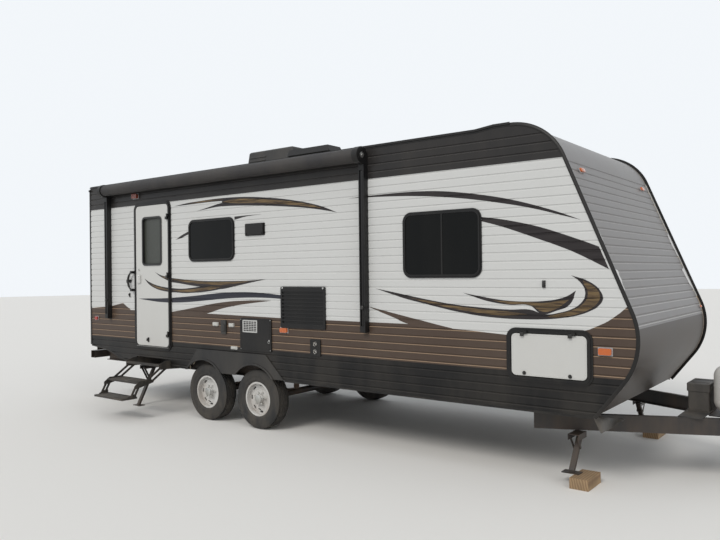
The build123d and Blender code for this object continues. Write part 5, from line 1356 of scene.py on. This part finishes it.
# Air conditioner: a vacuum-formed black plastic shroud, screwed down at its four corners,
# with a bank of raised louvre hoods on each side over the condenser coil.
shroud = finish(
    "shroud black", (0.012, 0.012, 0.0125), 0.5, film=0.14, film_height=8.0, grain=300.0
)
dress(shroud, "air_conditioner")
cooler_inset, cooler_height, cooler_foot = 0.06, 0.39, 2.555
lean = (-math.degrees(math.atan(cooler_inset / cooler_height)), 0.0, 0.0)
cooler_louvres = []
for count in range(6):
    rise = 0.075 + 0.046 * count
    hood_place = (-6.33, -0.345 + cooler_inset * rise / cooler_height, cooler_foot + rise)
    cooler_louvres.append(block(hood_place, (300, 16, 20), 4.5, 3, turn=lean))
settle_both(merge(cooler_louvres), "cooler_louvres", shroud)

# Roof: white rubber membrane glued over the deck, chalky and dusty, with a bead of grey
# self-levelling sealant round the foot of every fitting that passes through it.
membrane = finish(
    "roof membrane", (0.58, 0.58, 0.56), 0.75, film=0.5, film_height=8.0, grain=60.0
)
dress(membrane, "roof")
sealant = finish(
    "roof sealant", (0.42, 0.42, 0.41), 0.6, film=0.4, film_height=8.0, grain=70.0, bump=0.003
)
bead_section = ((20, 0), (16, 3.5), (6, 5.5), (-4, 5.5), (-8, 0))
for name, low_x, high_x, low_y, high_y, corner in (
    ("fridge_cap", -5.085, -4.505, -1.035, -0.805, 0.012),
    ("hatch_front", -3.465, -3.115, -0.175, 0.175, 0.02),
    ("hatch_rear", -7.615, -7.265, 0.275, 0.625, 0.02),
    ("cooler", -6.56, -5.66, -0.345, 0.345, 0.06),
    ("pipe_rear", -7.178, -7.102, 0.762, 0.838, 0.0379),
    ("pipe_middle", -4.128, -4.052, 0.782, 0.858, 0.0379),
    ("pipe_front", -2.828, -2.752, 0.462, 0.538, 0.0379),
):
    foot = rounded_path(low_x, high_x, low_y, high_y, corner)
    bead = swept(foot, 0.0, bead_section, closed=True)
    bead.rotation_euler.x = math.radians(-90.0)
    bead.location.z = cooler_foot + 0.0005
    settle(bead, f"sealant_{name}", sealant, angle=50.0)

# Gas bottles: two white 9 kg steel bottles, each with a weld bead round its middle, a cut-out
# collar and a brass valve with a black hand wheel; their feet have rusted on the rack.
bottle_paint = finish(
    "bottle paint", (0.6, 0.6, 0.58), 0.34, film=0.55, patch=9.0, grain=140.0,
    film_height=0.9, film_colour=(0.3, 0.17, 0.09),
)
dress(bottle_paint, "gas_bottles")
brass = finish("valve brass", (0.55, 0.4, 0.16), 0.34, film=0.3, patch=30.0, metallic=1.0)
bottle_seam = turned((0.0, 0.0, 0.325), upwards, (
    (-4.5, 154.8), (-3, 156.2), (0, 156.8), (3, 156.2), (4.5, 154.8),
), steps=64)
valve_body = merge([
    turned((0.0, 0.0, 0.58), upwards, (
        (0, 0), (0, 12.5), (4, 12.5), (5.5, 8), (9, 8), (9, 0),
    ), steps=20),
    turned((-0.0235, 0.0, 0.545), (-1.0, 0.0, 0.0), (
        (0, 0), (0, 12), (16, 12), (17.5, 14.5), (26, 14.5), (28, 12.5), (28, 9), (18, 8.5),
        (18, 0),
    ), steps=6),
])
hand_wheel = turned((0.0, 0.0, 0.5885), upwards, (
    (0, 0), (0, 20), (2.5, 25.5), (8.5, 25.8), (11, 23), (8.5, 12), (10.5, 6), (10.5, 0),
), steps=12)
for side, sideways in (("curb", -0.165), ("road", 0.165)):
    for made, part, paint in (
        (bottle_seam, "weld", bottle_paint), (valve_body, "valve", brass),
        (hand_wheel, "wheel", fitting_black),
    ):
        each = copy_of(made, (-0.78, sideways, 0.0))
        settle(each, f"bottle_{part}_{side}", paint)
discard(bottle_seam, valve_body, hand_wheel)

# Battery: a black moulded box whose lid has two long stiffening ribs and a row of vent slots
# under its edge, standing on its own cross plate behind the bottles.
battery_plastic = finish(
    "battery plastic", (0.016, 0.016, 0.017), 0.5, film=0.45, grain=380.0, bump=0.0012
)
dress(battery_plastic, "battery_box")
lid_ribs = []
for sideways in (-0.085, 0.085):
    lid_ribs.append(block((-1.06, sideways, 0.3285), (150, 16, 7), 2.8, 3))
for count in range(-4, 5):
    lid_ribs.append(block((-0.964, 0.03 * count, 0.28), (4, 12, 30), 1.6))
settle(merge(lid_ribs), "battery_lid_ribs", battery_plastic)

# Tongue jack: a black painted screw jack through the tongue plate, with a bare telescoping
# leg, a revolving sleeve on its crank and three bolts round its mounting flange.
jack_paint = finish("jack paint", (0.014, 0.014, 0.015), 0.35, film=0.4, patch=8.0)
dress(jack_paint, "tongue_jack")
leg_steel = finish(
    "leg steel", (0.4, 0.39, 0.37), 0.36, film=0.6, patch=16.0, metallic=1.0,
    film_colour=(0.22, 0.12, 0.06),
)
dress(leg_steel, "tongue_jack_leg")
jack_forward = -0.32
crank_sleeve = turned((jack_forward, 0.19, 0.508), upwards, (
    (0, 0), (0, 11), (2, 13), (78, 13.5), (83, 12), (85, 0),
), steps=24)
settle(crank_sleeve, "jack_crank_sleeve", fitting_black)
flange = turned((jack_forward, 0.0, 0.0975), upwards, (
    (0, 30.2), (0, 56), (1.5, 57.5), (7.5, 57.5), (9, 56), (9, 34), (14, 30.2),
), steps=40)
settle(flange, "jack_flange", jack_paint)
bolt_circle = 0.046
flange_bolts = []
for turn in (60.0, 180.0, 300.0):
    out = Matrix.Rotation(math.radians(turn), 3, "Z") @ Vector((bolt_circle, 0.0, 0.0))
    flange_bolts.append(turned((jack_forward + out.x, out.y, 0.106), upwards, (
        (0, 0), (0, 8.5), (6.5, 8.5), (7.5, 7), (7.5, 0),
    ), steps=6))
settle(merge(flange_bolts), "jack_flange_bolts", plated, angle=25.0)

# Jack pads: offcuts of softwood under the front stabilizers, weathered grey along the grain,
# with dirt in their end grain.
pad_wood = finish(
    "pad wood", (0.36, 0.24, 0.13), 0.78, film=0.6, patch=6.0, bump=0.002,
    film_colour=(0.16, 0.12, 0.08),
)
tree = pad_wood.node_tree
along_grain = node(
    tree, "ShaderNodeMapping", Vector=place_of(tree), Scale=(9.0, 1.0, 9.0),
    Rotation=(0.05, 0.0, 0.02),
)
rings = node(
    tree, "ShaderNodeTexWave", wave_type="RINGS", rings_direction="Y",
    Vector=along_grain.outputs["Vector"], Scale=1.6, Distortion=2.6, Detail=3.0,
)
repaint(tree, rings.outputs["Fac"], (0.4, 0.275, 0.155), (0.235, 0.145, 0.075))
emboss(tree, rings.outputs["Fac"])
dress(pad_wood, "jack_pads")

# Entry step: two welded treads on folding flat-steel links; each tread carries strips of
# grit tape for the foot, worn grey in the middle, and every pivot is a plated shoulder rivet.
step_paint = finish(
    "step paint", (0.016, 0.016, 0.016), 0.5, film=0.6, patch=7.0, film_height=0.9,
    film_colour=(0.15, 0.12, 0.09),
)
dress(step_paint, *[name for name in nodes if name.startswith("step_")])
grit = finish("grit tape", (0.02, 0.02, 0.02), 0.9, film=0.5, grain=900.0, bump=0.004)
tree = grit.node_tree
tread_middle = -7.355
away = math_node(tree, "SUBTRACT", axes_of(tree)["X"], tread_middle)
worn_in = node(tree, "ShaderNodeMapRange", **{
    "Value": math_node(tree, "ABSOLUTE", away), "From Min": 0.26, "From Max": 0.05,
})
scuffs = node(tree, "ShaderNodeTexNoise", Vector=place_of(tree), Scale=28.0, Detail=4.0)
scuffed = math_node(tree, "MULTIPLY", worn_in.outputs["Result"], scuffs.outputs["Fac"])
repaint(tree, scuffed, (0.02, 0.02, 0.02), (0.16, 0.15, 0.135))
for level, top, sides in (
    ("upper", 0.01, (-1.655, -1.585, -1.515)), ("lower", -0.165, (-1.855, -1.8, -1.745)),
):
    strips = merge([
        block((tread_middle, sideways, top + 0.0006), (560, 28, 1.6), 0.6)
        for sideways in sides
    ])
    settle(strips, f"step_{level}_grit", grit, f"step_{level}_tread")

begin()
